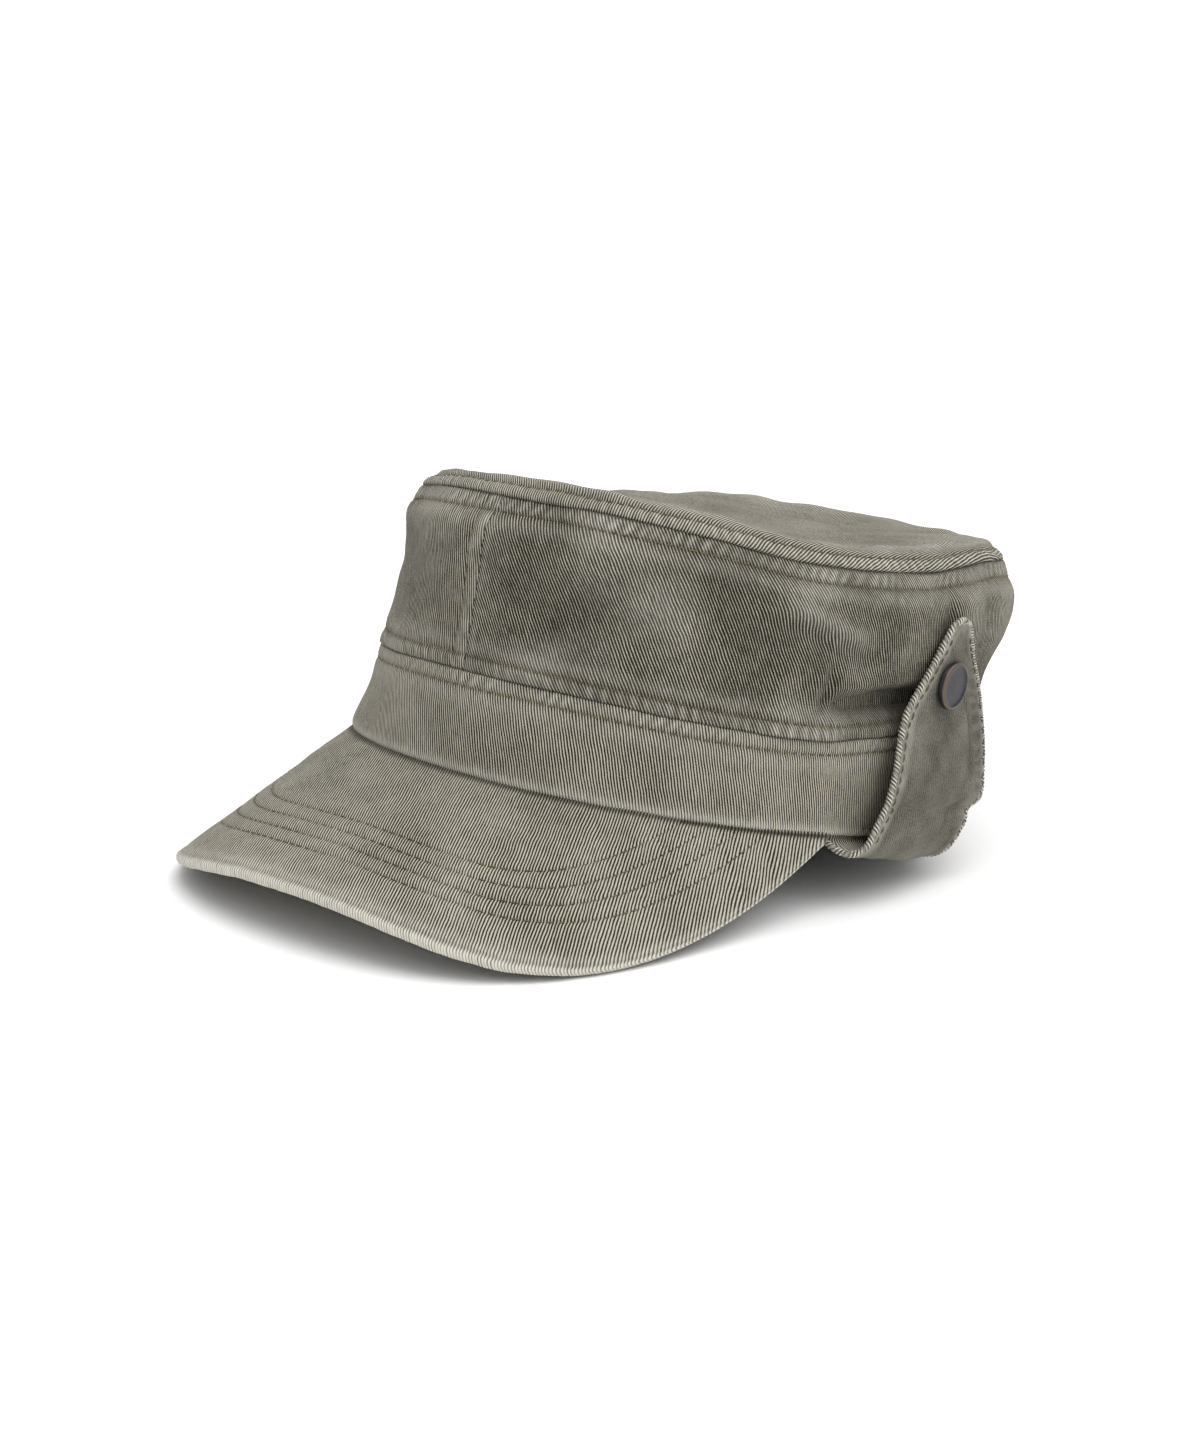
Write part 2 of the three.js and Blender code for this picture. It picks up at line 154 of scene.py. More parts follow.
WALL_SECTIONS = (
    Section(0.0, 1.0, 1.0, 0.0),
    Section(0.36, 1.012, 0.998, 0.012),
    Section(0.68, 1.035, 1.03, 0.03),
    Section(0.88, 1.055, 1.05, 0.042),
    Section(1.0, 1.04, 1.035, 0.045),
)
BAND_LINE = (
    SeamRow(-110, 0.05),
    SeamRow(-65, -0.04),
    SeamRow(0, 0.01),
    SeamRow(20, 0.025),
    SeamRow(66, -0.04),
    SeamRow(82, -0.015),
    SeamRow(97, 0.09),
    SeamRow(130, 0.08),
    SeamRow(180, 0.02),
)
TOP_LINE = (
    SeamRow(-150, 0.025, 0.68),
    SeamRow(-130, 0.0, 0.75),
    SeamRow(-108, -0.05, 0.7),
    SeamRow(-80, -0.05, 0.7),
    SeamRow(-45, -0.055, 0.75),
    SeamRow(-20, -0.02, 0.85),
    SeamRow(0, 0.0, 1.0),
    SeamRow(18, 0.012, 1.1),
    SeamRow(45, 0.0, 0.95),
    SeamRow(66, -0.032, 1.1),
    SeamRow(90, -0.012, 1.05),
    SeamRow(112, 0.055, 0.75),
    SeamRow(135, 0.06, 0.7),
    SeamRow(180, 0.05, 0.7),
)
WALL_DENTS = (
    Hump(92, 0.5, 13, 0.08, -1.0),
    Hump(-92, 0.5, 15, 0.09, -0.9),
    Hump(72, 0.72, 14, 0.16, 0.35),
    Hump(40, 0.62, 22, 0.12, -0.3),
    Hump(-49, 0.78, 28, 0.22, -0.9),
    Hump(-50, 0.56, 26, 0.17, -0.7),
    Hump(-57, 0.0, 24, 0.17, 1.25),
    Hump(133, 0.76, 24, 0.24, 0.85),
    Hump(-135, 0.66, 20, 0.14, -0.4),
)
TOP_DENTS = (
    Hump(30, 0.35, 30, 0.25, -0.35),
    Hump(95, 0.3, 30, 0.22, -0.4),
    Hump(150, 0.35, 25, 0.25, 0.35),
    Hump(-60, 0.4, 35, 0.3, -0.3),
    Hump(-140, 0.4, 30, 0.3, 0.3),
)
CREASES = (
    Crease(77, 40.0, 98, 43.0, 3.0, -3.4),
    Crease(86, 44.5, 99, 46.0, 2.2, -2.6),
    Crease(74, 52.0, 75, 38.0, 2.0, -1.0),
    Crease(61, 69.1, 80, 60.0, 3.0, 1.5),
    Crease(64, 62.0, 84, 54.5, 5.0, -1.3),
    Crease(43, 75.0, 66, 49.0, 7.0, -0.9),
    Crease(19, 71.0, 46, 50.0, 8.0, 0.6),
    Crease(14, 44.0, 36, 56.0, 7.0, -0.8),
    Crease(97, 77.0, 101, 55.0, 2.6, -0.8),
    Crease(-34, 72.0, -52, 45.0, 7.0, -1.2),
    Crease(-60, 66.0, -78, 44.0, 6.0, 1.1),
    Crease(-76, 39.0, -98, 43.0, 3.5, -2.2),
    Crease(-118, 74.0, -96, 52.0, 6.0, 0.9),
    Crease(-150, 50.0, -128, 66.0, 6.0, -1.0),
    Crease(150, 46.0, 128, 58.0, 7.0, -0.9),
    Crease(166, 74.0, 150, 60.0, 6.0, 0.8),
)


CROWN_SLACK = (NoiseLayer(0.85, 44, 5), NoiseLayer(0.5, 20, 6), NoiseLayer(0.14, 9, 7))
TOP_SLACK = (NoiseLayer(0.7, 50, 8), NoiseLayer(0.35, 22, 9))
PEAK_SOFTNESS = (NoiseLayer(0.16, 24, 12), NoiseLayer(0.07, 8, 13))
FLAP_DENTS = (NoiseLayer(0.45, 24, 62), NoiseLayer(0.2, 11, 63))


def smooth_noise(points: Array, wavelength: float, seed: int) -> Array:
    """Works out a soft noise of about -1 to 1.

    It is the mean of sine waves that run in seeded directions, each near the wavelength.

    Args:
        points: Points in millimetres, with X, Y and Z last.
        wavelength: The waves' length in millimetres.
        seed: The seed of their directions.

    Returns:
        The noise at each point.
    """
    rng = np.random.default_rng(seed)
    directions = rng.normal(size=(9, 3))
    directions /= np.linalg.norm(directions, axis=1, keepdims=True)
    waves = 2 * np.pi / (wavelength * rng.uniform(0.7, 1.5, size=9))
    phases = rng.uniform(0, 2 * np.pi, size=9)
    return np.sin((points @ directions.T) * waves + phases).mean(axis=-1) * 2.4


def layered(points: Array, layers: Sequence[NoiseLayer]) -> Array:
    """Returns the sum of a table's layers of noise at each point."""
    return sum(layer.depth * smooth_noise(points, layer.wavelength, layer.seed) for layer in layers)


def bell(distance: Array, width: float) -> Array:
    """Returns a bell curve of height 1 and the given half width."""
    return np.exp(-((distance / width) ** 2))


def normals_of(points: Array) -> Array:
    """Returns a grid's unit normals, the cross product of its slopes along rows and along columns."""
    normal = np.cross(np.gradient(points, axis=0), np.gradient(points, axis=1))
    return normal / np.maximum(np.linalg.norm(normal, axis=-1, keepdims=True), 1e-9)


def upwards(normals: Array) -> Array:
    """Returns normals turned so that they point up."""
    return normals * np.sign(normals[..., 2:3])


def unit(vectors: Array) -> Array:
    """Returns the vectors with a length of 1."""
    return vectors / np.linalg.norm(vectors, axis=-1, keepdims=True)


def picked(values: Array, along: Array, places: Array) -> Array:
    """Returns a path's values at places along it, straight between its points."""
    return np.stack([np.interp(places, along, values[:, k]) for k in range(3)], -1)


def widened(values: Array, extra: int, fill: float) -> Array:
    """Returns a grid with extra columns of one value."""
    return np.concatenate([values, np.full((len(values), extra), fill)], axis=1)


def length_along(points: Array, axis: int = 0) -> Array:
    """Returns the running length along an axis of a grid or path of points."""
    steps = np.linalg.norm(np.diff(points, axis=axis), axis=-1)
    start = np.zeros_like(np.take(steps, [0], axis=axis))
    return np.cumsum(np.concatenate([start, steps], axis=axis), axis=axis)


class Curve:
    """A smooth curve through a table: cubics whose slope at each row is that of its neighbours' chord."""

    def __init__(self, xs: Sequence[float], ys: Sequence[float], period: float = 0.0) -> None:
        """Keeps the table.

        Args:
            xs: Where each row is.
            ys: Its value there.
            period: The length after which the table repeats, or 0.
        """
        self.first, self.period = xs[0], period
        ahead, behind = (xs[:2], ys[:2]), (xs[-2:], ys[-2:])
        if period:
            xs = np.concatenate([np.subtract(behind[0], period), xs, np.add(ahead[0], period)])
            ys = np.concatenate([behind[1], ys, ahead[1]])
        self.xs, self.ys = np.asarray(xs, float), np.asarray(ys, float)
        before = np.maximum(np.arange(len(self.xs)) - 1, 0)
        after = np.minimum(np.arange(len(self.xs)) + 1, len(self.xs) - 1)
        self.slopes = (self.ys[after] - self.ys[before]) / (self.xs[after] - self.xs[before])

    def __call__(self, at: Union[Array, float]) -> Array:
        """Returns the curve's value at each place."""
        if self.period:
            at = self.first + np.mod(np.subtract(at, self.first), self.period)
        i = np.clip(np.searchsorted(self.xs, at, side="right") - 1, 0, len(self.xs) - 2)
        span = self.xs[i + 1] - self.xs[i]
        t = (at - self.xs[i]) / span
        return (
            (2 * t**3 - 3 * t**2 + 1) * self.ys[i]
            + (t**3 - 2 * t**2 + t) * span * self.slopes[i]
            + (3 * t**2 - 2 * t**3) * self.ys[i + 1]
            + (t**3 - t**2) * span * self.slopes[i + 1]
        )


class Relief(NamedTuple):
    """Fine relief of cloth: how far it stands out, how pale it turns from wearing and painted highlights, and
    how much painted shade it holds.
    """

    off: Array
    wear: Array
    shade: Array

    def __add__(self, other: "Relief") -> "Relief":
        """Returns both reliefs laid over each other."""
        return Relief(self.off + other.off, self.wear + other.wear, self.shade + other.shade)


@dataclass(frozen=True)
class SeamLook:
    """How far the parts of a stitched seam stand out or lie in, how pale they turn with wearing and painted
    highlights, and how much painted shade they hold.
    """

    pad: float = 0.28
    roll: float = 0.26
    groove: float = 0.34
    puff: float = 0.2
    gather: float = 0.2
    roll_width: float = 0.4
    groove_width: float = 0.75
    puff_from_groove: float = 3.2
    puff_width: float = 2.4
    gather_fade: float = 3.5
    pad_wear_and_highlight: float = 0.12
    gather_highlight: float = 0.24
    puff_highlight: float = 0.14
    roll_shade: float = 0.5
    groove_shade: float = 0.3
    gather_shade: float = 0.26


@dataclass
class CapForm:
    """The cap's driving sizes and the surfaces that they give, in millimetres."""

    half_length: float = 102.0
    half_width: float = 84.0
    band_height: float = 30.0
    crown_height: float = 84.0
    roundness: float = 2.2
    cloth: float = 1.6
    band_cloth: float = 2.2
    gap: float = 0.3
    dent_depth: float = 4.0
    rim_rise: float = 6.5
    rim_width: float = 11.0
    top_sag: float = 6.0
    top_dent_fade: float = 0.15
    stitch_from_seam: float = 4.5
    pucker_pitch: float = 4.4
    dome: float = 3.8
    dome_width: float = 7.5
    shoulder: float = 2.2
    shoulder_at: float = 5.5
    shoulder_width: float = 4.0
    seam_look: SeamLook = SeamLook()

    def __post_init__(self) -> None:
        """Makes the curves through the tables, and the table of lengths round the cap."""
        levels, lengths, widths, backs = zip(*WALL_SECTIONS)
        self.length, self.width, self.back = (Curve(levels, column) for column in (lengths, widths, backs))
        band_turns, band_rises, _ = zip(*BAND_LINE)
        turns, rises, rims = zip(*TOP_LINE)
        self.band_rise = Curve(band_turns, band_rises, FULL_TURN)
        self.top_rise, self.rim_share = (Curve(turns, column, FULL_TURN) for column in (rises, rims))
        self.fine_angles = np.linspace(-np.pi, 2 * np.pi, 9001)
        x, y, _, _ = self.outline(self.fine_angles, 0.5)
        lengths = length_along(np.stack([x, y], -1))
        self.fine_lengths = lengths - np.interp(0.0, self.fine_angles, lengths)
        self.girth = float(self.arc(np.pi) - self.arc(-np.pi))

    def arc(self, angle: Union[Array, float]) -> Array:
        """Returns the length round the cap's side from the front, growing towards the wearer's left."""
        return np.interp(angle, self.fine_angles, self.fine_lengths)

    def angles(self, start: float, end: float, count: int) -> Array:
        """Returns count + 1 angles between two, at equal lengths round the side."""
        lengths = np.linspace(self.arc(start), self.arc(end), count + 1)
        return np.interp(lengths, self.fine_lengths, self.fine_angles)

    def outline(self, angle: Array, level: Union[Array, float]) -> tuple[Array, Array, Array, Array]:
        """Works out the plan outline, a superellipse.

        Args:
            angle: Angles from the front, in radians.
            level: Shares of the way up from the band's lower edge to the top seam.

        Returns:
            X and Y, and the X and Y of the outward direction.
        """
        power = 2 / self.roundness
        s, c = np.sin(angle), np.cos(angle)
        x = np.sign(s) * np.abs(s) ** power
        y = -np.sign(c) * np.abs(c) ** power
        across = self.half_width * self.width(level)
        along = self.half_length * self.length(level)
        rise = self.roundness - 1
        out_x = np.sign(x) * np.abs(x) ** rise / across
        out_y = np.sign(y) * np.abs(y) ** rise / along
        size = np.hypot(out_x, out_y)
        return x * across, self.half_length * self.back(level) + y * along, out_x / size, out_y / size

    def top_seam(self, angle: Array) -> Array:
        """Returns the top seam's height at each angle."""
        return self.crown_height * (1 + self.top_rise(np.degrees(angle)))

    def band_seam(self, angle: Array) -> Array:
        """Returns the height of the seam between band and crown at each angle."""
        return self.band_height * (1 + self.band_rise(np.degrees(angle)))

    @staticmethod
    def humps(rows: Sequence[Hump], angle: Array, at: Array) -> Array:
        """Returns the sum of a table's bell-shaped humps, with angles taken the short way round."""
        total = np.zeros(np.broadcast(angle, at).shape)
        for row in rows:
            ahead = np.mod(np.degrees(angle) - row.angle, FULL_TURN)
            turn = np.minimum(ahead, FULL_TURN - ahead)
            total += row.depth * bell(turn, row.spread) * bell(at - row.at, row.size)
        return total

    def wall(self, angle: Array, height: Array, off: Union[Array, float] = 0.0) -> Array:
        """Works out the outside of band and crown: the plan outline at a height, with its dents.

        Args:
            angle: Angles from the front.
            height: Heights above the band's lower edge.
            off: How far further out the points are.

        Returns:
            The points.
        """
        angle, height, off = np.broadcast_arrays(angle, height, off)
        level = height / self.top_seam(angle)
        x, y, out_x, out_y = self.outline(angle, level)
        out = off + self.dent_depth * self.humps(WALL_DENTS, angle, level)
        return np.stack([x + out_x * out, y + out_y * out, height], -1)

    def smooth_wall(self, angle: Array, height: Array, off: Union[Array, float]) -> Array:
        """Returns the same outside without its dents, which the ear flaps follow."""
        angle, height, off = np.broadcast_arrays(angle, height, off)
        level = np.clip(height / self.crown_height, 0, 1)
        x, y, out_x, out_y = self.outline(angle, level)
        return np.stack([x + out_x * off, y + out_y * off, height], -1)

    def top(self, angle: Array, inward: Array) -> Array:
        """Works out the top panel's outside.

        A quarter-round rim stands above the seam, and a slack surface sags from it to the middle.

        Args:
            angle: Angles from the front.
            inward: 0 at the seam and 1 at the middle.

        Returns:
            The points.
        """
        angle, inward = np.broadcast_arrays(angle, inward)
        seam_height = self.top_seam(angle)
        seam = self.wall(angle, seam_height)
        middle_y = self.half_length * self.back(1.0)
        radius = np.hypot(seam[..., 0], seam[..., 1] - middle_y)
        across = radius * inward
        quarter = 1 - np.minimum(across / self.rim_width, 1)
        rim_rise = self.rim_rise * self.rim_share(np.degrees(angle)) * np.sqrt(1 - quarter**2)
        rim = seam_height + self.gap + rim_rise
        centre = self.crown_height + self.rim_rise - self.top_sag
        beyond = np.maximum(0, (across - self.rim_width) / (radius - self.rim_width))
        settle = beyond * (2 - beyond)
        fade = np.minimum(1, beyond / self.top_dent_fade) * np.sqrt(1 - beyond)
        dents = self.dent_depth * fade * self.humps(TOP_DENTS, angle, beyond)
        x = seam[..., 0] * (1 - inward)
        y = seam[..., 1] * (1 - inward) + middle_y * inward
        return np.stack([x, y, rim * (1 - settle) + centre * settle + dents], -1)

    def pucker(self, along: Array, points: Array, seed: int) -> Array:
        """Returns the uneven gathers beside a seam, about -1 to 1: waves along it of varying depth."""
        cycles = round(self.girth / self.pucker_pitch)
        drift = 2.6 * smooth_noise(points, 30, seed)
        depth = 0.5 + 0.6 * smooth_noise(points, 19, seed + 1)
        return np.sin(2 * np.pi * cycles * along / self.girth + drift) * depth

    def lean_in(self, distance: Array) -> Array:
        """Returns how far the wall leans in near the top seam, at a distance from it."""
        return self.dome * bell(distance, self.dome_width)

    def rim_lean_in(self, distance: Array) -> Array:
        """Returns how far the rim leans in, which rounds its shoulder above the seam."""
        return self.lean_in(distance) + self.shoulder * bell(distance - self.shoulder_at, self.shoulder_width)

    def seam_relief(self, distance: Array, along: Array, points: Array, seed: int) -> Relief:
        """Works out the relief beside a seam whose turned-in cloth is stitched down.

        The cloth rolls in at the seam, is padded out to its stitch row, is pulled in there and puffs
        beyond it. Gathers cross the padded strip.

        Args:
            distance: Distance from the seam, across it.
            along: Distance along the seam.
            points: The points themselves, for the noise.
            seed: The seed of the gathers.

        Returns:
            The relief.
        """
        width, look = self.stitch_from_seam, self.seam_look
        wave = self.pucker(along + 0.5 * distance, points, seed)
        pad = np.sin(np.pi * np.clip(distance / width, 0, 1)) ** 0.6
        reach = np.where(distance < width, 1.0, bell(distance - width, look.gather_fade))
        roll = bell(distance, look.roll_width)
        groove = bell(distance - width, look.groove_width)
        puff = bell(distance - width - look.puff_from_groove, look.puff_width)
        off = look.pad * pad - look.roll * roll - look.groove * groove
        off = off + look.puff * puff + look.gather * wave * reach
        # Pale on the padded strip from wearing and a painted highlight, with painted highlights on the
        # gathers' crests and the puff; painted shade on the roll, the groove and the gathers' troughs.
        wear = pad * (look.pad_wear_and_highlight + look.gather_highlight * np.maximum(wave, 0)) + look.puff_highlight * puff
        fading = np.clip(0.75 + 0.6 * smooth_noise(points, 26, seed + 2), 0.2, 1.2)
        shade = look.roll_shade * roll * fading + look.groove_shade * groove
        return Relief(off, wear, shade + look.gather_shade * np.maximum(-wave, 0) * pad)


class Placement:
    """Turns points of the upright cap, in millimetres, into the resting cap's frame, in metres."""

    def __init__(self, record: dict) -> None:
        """Reads the upright cap's origin and downward direction from the record's head opening."""
        mount = next(row for row in record["mounts"] if row["name"] == "head_opening")
        self.origin = np.array(mount["pos_m"])
        down = np.array(mount["axis"]) / np.linalg.norm(mount["axis"])
        self.turn = np.array([[1, 0, 0], [0, -down[2], -down[1]], [0, down[1], -down[2]]])

    def points(self, points: Array) -> Array:
        """Returns points of the upright cap in the frame."""
        return points * MM @ self.turn.T + self.origin

    def direction(self, direction: Array) -> Array:
        """Returns a direction of the upright cap in the frame."""
        return direction @ self.turn.T


Value = Union["Wire", float]


class Wire:
    """A shader socket whose arithmetic adds Math nodes."""

    def __init__(self, shader: "Shader", socket: bpy.types.NodeSocket) -> None:
        """Keeps the shader that the socket belongs to."""
        self.shader, self.socket = shader, socket

    def math(self, operation: str, *others: Value) -> "Wire":
        """Returns a Math node's result on this socket and the others."""
        return self.shader.node("ShaderNodeMath", {"operation": operation}, dict(enumerate((self, *others))))

    def __add__(self, other: Value) -> "Wire":
        """Returns the sum."""
        return self.math("ADD", other)

    def __sub__(self, other: Value) -> "Wire":
        """Returns the difference."""
        return self.math("SUBTRACT", other)

    def __rsub__(self, other: Value) -> "Wire":
        """Returns a number less this socket."""
        return self.shader.node("ShaderNodeMath", {"operation": "SUBTRACT"}, {0: other, 1: self})

    def __mul__(self, other: Value) -> "Wire":
        """Returns the product."""
        return self.math("MULTIPLY", other)

    __radd__ = __add__
    __rmul__ = __mul__

    def wave(self) -> "Wire":
        """Returns a wave of 0 to 1 with one crest for each whole number."""
        return (self * (2 * math.pi)).math("SINE") * 0.5 + 0.5

    def held(self) -> "Wire":
        """Returns the value held between 0 and 1."""
        return self.math("MAXIMUM", 0.0).math("MINIMUM", 1.0)


Colour = tuple[float, float, float]


def srgb(red: int, green: int, blue: int) -> Colour:
    """Returns a display colour of 0 to 255 as linear light."""
    shares = [channel / 255 for channel in (red, green, blue)]
    return tuple(c / 12.92 if c <= 0.04045 else ((c + 0.055) / 1.055) ** 2.4 for c in shares)


class Shader:
    """A material's node tree, with one method that adds any node."""

    def __init__(self, name: str) -> None:
        """Starts a material with a principled shader.

        Args:
            name: The material's name.
        """
        self.material = bpy.data.materials.new(name)
        self.material.use_nodes = True
        self.tree = self.material.node_tree
        self.surface = next(node for node in self.tree.nodes if node.type == "BSDF_PRINCIPLED")

    def node(self, kind: str, settings: dict, sockets: dict, output: Union[int, str] = 0) -> Wire:
        """Adds a node.

        Args:
            kind: The node's type.
            settings: Its settings; "ramp" holds a colour ramp's stops.
            sockets: The value or wire of each input, by name or number.
            output: The output to return.

        Returns:
            The output's wire.
        """
        node = self.tree.nodes.new(kind)
        for key, value in settings.items():
            if key == "ramp":
                self._set_ramp(node.color_ramp, value)
            else:
                setattr(node, key, value)
        for key, value in sockets.items():
            self._feed(node.inputs[key], value)
        return Wire(self, node.outputs[output])

    @staticmethod
    def _set_ramp(ramp: bpy.types.ColorRamp, stops: Sequence[tuple[float, Colour]]) -> None:
        """Sets a ramp's stops, each a place and a colour."""
        while len(ramp.elements) < len(stops):
            ramp.elements.new(0.5)
        for element, (place, colour) in zip(ramp.elements, stops):
            element.position = place
            element.color = (*colour, 1.0)

    def _feed(self, socket: bpy.types.NodeSocket, value: Union[Value, Sequence[float]]) -> None:
        """Links a wire to a socket, or sets the socket's own value."""
        if isinstance(value, Wire):
            self.tree.links.new(value.socket, socket)
        elif isinstance(value, tuple) and len(value) == 3 and socket.type == "RGBA":
            socket.default_value = (*value, 1.0)
        else:
            socket.default_value = value

    def set(self, **sockets: Union[Value, Sequence[float]]) -> None:
        """Feeds the principled shader's sockets, with underscores for the spaces in their names."""
        for name, value in sockets.items():
            self._feed(self.surface.inputs[name.replace("_", " ")], value)

    def mix(self, share: Value, low: Union[Wire, Colour], high: Union[Wire, Colour]) -> Wire:
        """Returns the blend of two colours."""
        settings = {"data_type": "RGBA", "clamp_factor": True}
        return self.node("ShaderNodeMix", settings, {0: share, 6: low, 7: high}, 2)

    def noise(self, vector: Wire, scale: float, detail: float = 2.0, roughness: float = 0.5) -> Wire:
        """Returns a noise texture's value, about 0.5 on average."""
        sockets = {"Vector": vector, "Scale": scale, "Detail": detail, "Roughness": roughness}
        return self.node("ShaderNodeTexNoise", {}, sockets, "Fac")

    def vector(self, x: Value, y: Value, z: Value = 0.0) -> Wire:
        """Returns a vector from its parts."""
        return self.node("ShaderNodeCombineXYZ", {}, {0: x, 1: y, 2: z})

    def attribute(self, name: str) -> Wire:
        """Returns a mesh attribute's value."""
        return self.node("ShaderNodeAttribute", {"attribute_name": name}, {}, "Fac")

    def cloth_place(self) -> tuple[Wire, Wire, Wire]:
        """Returns the cloth's own flat coordinates in millimetres: the vector, and its two parts."""
        flat = self.node("ShaderNodeUVMap", {"uv_map": "cloth"}, {})
        parts = self.node("ShaderNodeSeparateXYZ", {}, {0: flat})
        across = Wire(self, parts.socket.node.outputs[0])
        up = Wire(self, parts.socket.node.outputs[1])
        return flat, across, up

    def bump(self, height: Wire, distance: float, strength: float = 1.0) -> Wire:
        """Returns a bumped normal."""
        sockets = {"Strength": strength, "Distance": distance, "Height": height}
        return self.node("ShaderNodeBump", {}, sockets, "Normal")


@dataclass(frozen=True)
class TwillFinish:
    """Washed cotton twill: pale diagonal wales over a darker ground, paler where worn and with a painted
    highlight where it stands out, and painted shade in folds.
    """

    name: str
    lean: float
    pitch: float = 0.9
    pale: Colour = srgb(181, 176, 161)
    ground: Colour = srgb(34, 31, 20)
    wear_and_highlight_colour: Colour = srgb(205, 201, 190)
    shade_colour: Colour = srgb(30, 27, 19)
    contrast: float = 1.0
    brightness: float = 0.0
    wales: float = 1.5
    streaks: float = 1.0
    flecks: float = 1.2
    yarns: float = 0.08
    patches: float = 0.8
    clouds: float = 0.32
    level: float = 0.4
    bump_depth: float = 0.00032
    slot: str = "twill"

    def material(self) -> bpy.types.Material:
        """Builds the finish.

        Returns:
            The material. Wales are waves across the cloth's lean; streaks run along them, and broad patches,
            worn edges, painted highlights on raised cloth and painted shade in folds change the colour.
        """
        shader = Shader(self.name)
        flat, across, up = shader.cloth_place()
        cosine, sine = math.cos(math.radians(self.lean)), math.sin(math.radians(self.lean))
        drift = shader.noise(flat, 0.09, 2.0)
        count = (across * cosine + up * sine) * (1 / self.pitch) + (drift - 0.5) * 1.2
        run = (up * cosine - across * sine) * (1 / self.pitch)
        wale = count.wave()
        yarn = (run * 0.85 + count * 0.5).wave()
        streak = shader.noise(shader.vector(count * 1.5, run * 0.22), 1.0, 2.0, 0.6)
        fleck = shader.noise(flat, 2.2, 3.0, 0.65)
        patch = shader.noise(flat, 0.032, 3.0, 0.55)
        cloud = shader.noise(flat, 0.11, 2.0, 0.5)
        wear, shade = shader.attribute("wear"), shader.attribute("shade")
        share = (
            (wale - 0.5) * (self.wales * self.contrast)
            + (streak - 0.5) * (self.streaks * self.contrast)
            + (fleck - 0.5) * self.flecks
            + (yarn - 0.5) * self.yarns
            + (patch - 0.5) * self.patches
            + (cloud - 0.5) * self.clouds
            + (self.level + self.brightness)
        ).held()
        cloth = shader.mix(share, self.ground, self.pale)
        # Paler where the cloth is worn, and a painted highlight where it stands out.
        worn = shader.mix((wear * (0.35 + wale * 0.75 + (streak - 0.5))).held(), cloth, self.wear_and_highlight_colour)
        # Painted shade: the dark colour in folds, grooves and recesses.
        shaded = shader.mix((shade * 0.85).held(), worn, self.shade_colour)
        height = wale * 0.7 + (streak - 0.5) * 0.5 + yarn * 0.05 + (fleck - 0.5) * 0.35
        shader.set(
            Base_Color=shaded,
            Roughness=(0.86 + (fleck - 0.5) * 0.2).held(),
            Normal=shader.bump(height, self.bump_depth, 0.8),
            Specular_IOR_Level=0.1,
            Sheen_Weight=0.03,
            Sheen_Roughness=0.6,
        )
        return shader.material


@dataclass(frozen=True)
class BrushedFinish:
    """The twill's brushed plain side: fine mottled fibres with hardly any wale."""

    name: str = "brushed_cotton"
    light: Colour = srgb(119, 116, 105)
    dark: Colour = srgb(42, 40, 32)
    wear_and_highlight_colour: Colour = srgb(172, 169, 159)
    shade_colour: Colour = srgb(42, 39, 31)
    flecks: float = 1.8
    clouds: float = 0.8
    wales: float = 0.4
    slot: str = "brushed_lining"

    def material(self) -> bpy.types.Material:
        """Returns the material: two sizes of mottling, faint wales, worn edges, painted highlights on raised
        cloth and painted shade in folds.
        """
        shader = Shader(self.name)
        flat, across, up = shader.cloth_place()
        wale = ((across * 0.93 + up * 0.36) * 0.9).wave()
        fleck = shader.noise(flat, 1.4, 4.0, 0.75)
        cloud = shader.noise(flat, 0.12, 3.0, 0.6)
        patch = shader.noise(flat, 0.04, 2.0, 0.5)
        wear, shade = shader.attribute("wear"), shader.attribute("shade")
        share = 0.5 + (fleck - 0.5) * self.flecks + (cloud - 0.5) * self.clouds
        share = (share + (patch - 0.5) + (wale - 0.5) * self.wales).held()
        cloth = shader.mix(share, self.dark, self.light)
        # Paler where the cloth is worn, and a painted highlight where it stands out.
        worn = shader.mix((wear * (0.4 + fleck * 0.9)).held(), cloth, self.wear_and_highlight_colour)
        # Painted shade: the dark colour in folds, grooves and recesses.
        shaded = shader.mix((shade * 0.85).held(), worn, self.shade_colour)
        shader.set(
            Base_Color=shaded,
            Roughness=(0.92 + (fleck - 0.5) * 0.1).held(),
            Normal=shader.bump(fleck * 0.7 + wale * 0.12 + cloud * 0.3, 0.0003, 0.7),
            Specular_IOR_Level=0.1,
            Sheen_Weight=0.04,
            Sheen_Roughness=0.7,
        )
        return shader.material


@dataclass(frozen=True)
class ThreadFinish:
    """Olive-brown sewing thread with a slight twist."""

    name: str = "olive_thread"
    light: Colour = srgb(118, 104, 68)
    dark: Colour = srgb(66, 56, 31)
    slot: str = "twill"

    def material(self) -> bpy.types.Material:
        """Returns the material: a twist along the thread and uneven fading."""
        shader = Shader(self.name)
        place = shader.node("ShaderNodeTexCoord", {}, {}, "Object")
        fade = shader.noise(place, 90.0, 2.0)
        twist = shader.noise(place, 2200.0, 2.0)
        share = ((fade - 0.5) * 2.0 + (twist - 0.5) * 1.2 + 0.45).held()
        shader.set(
            Base_Color=shader.mix(share, self.dark, self.light),
            Roughness=(0.6 + (twist - 0.5) * 0.3).held(),
            Normal=shader.bump(twist, 0.0001, 0.6),
            Specular_IOR_Level=0.3,
        )
        return shader.material


GREY_THREAD = ThreadFinish("grey_thread", srgb(100, 95, 80), srgb(60, 56, 44))


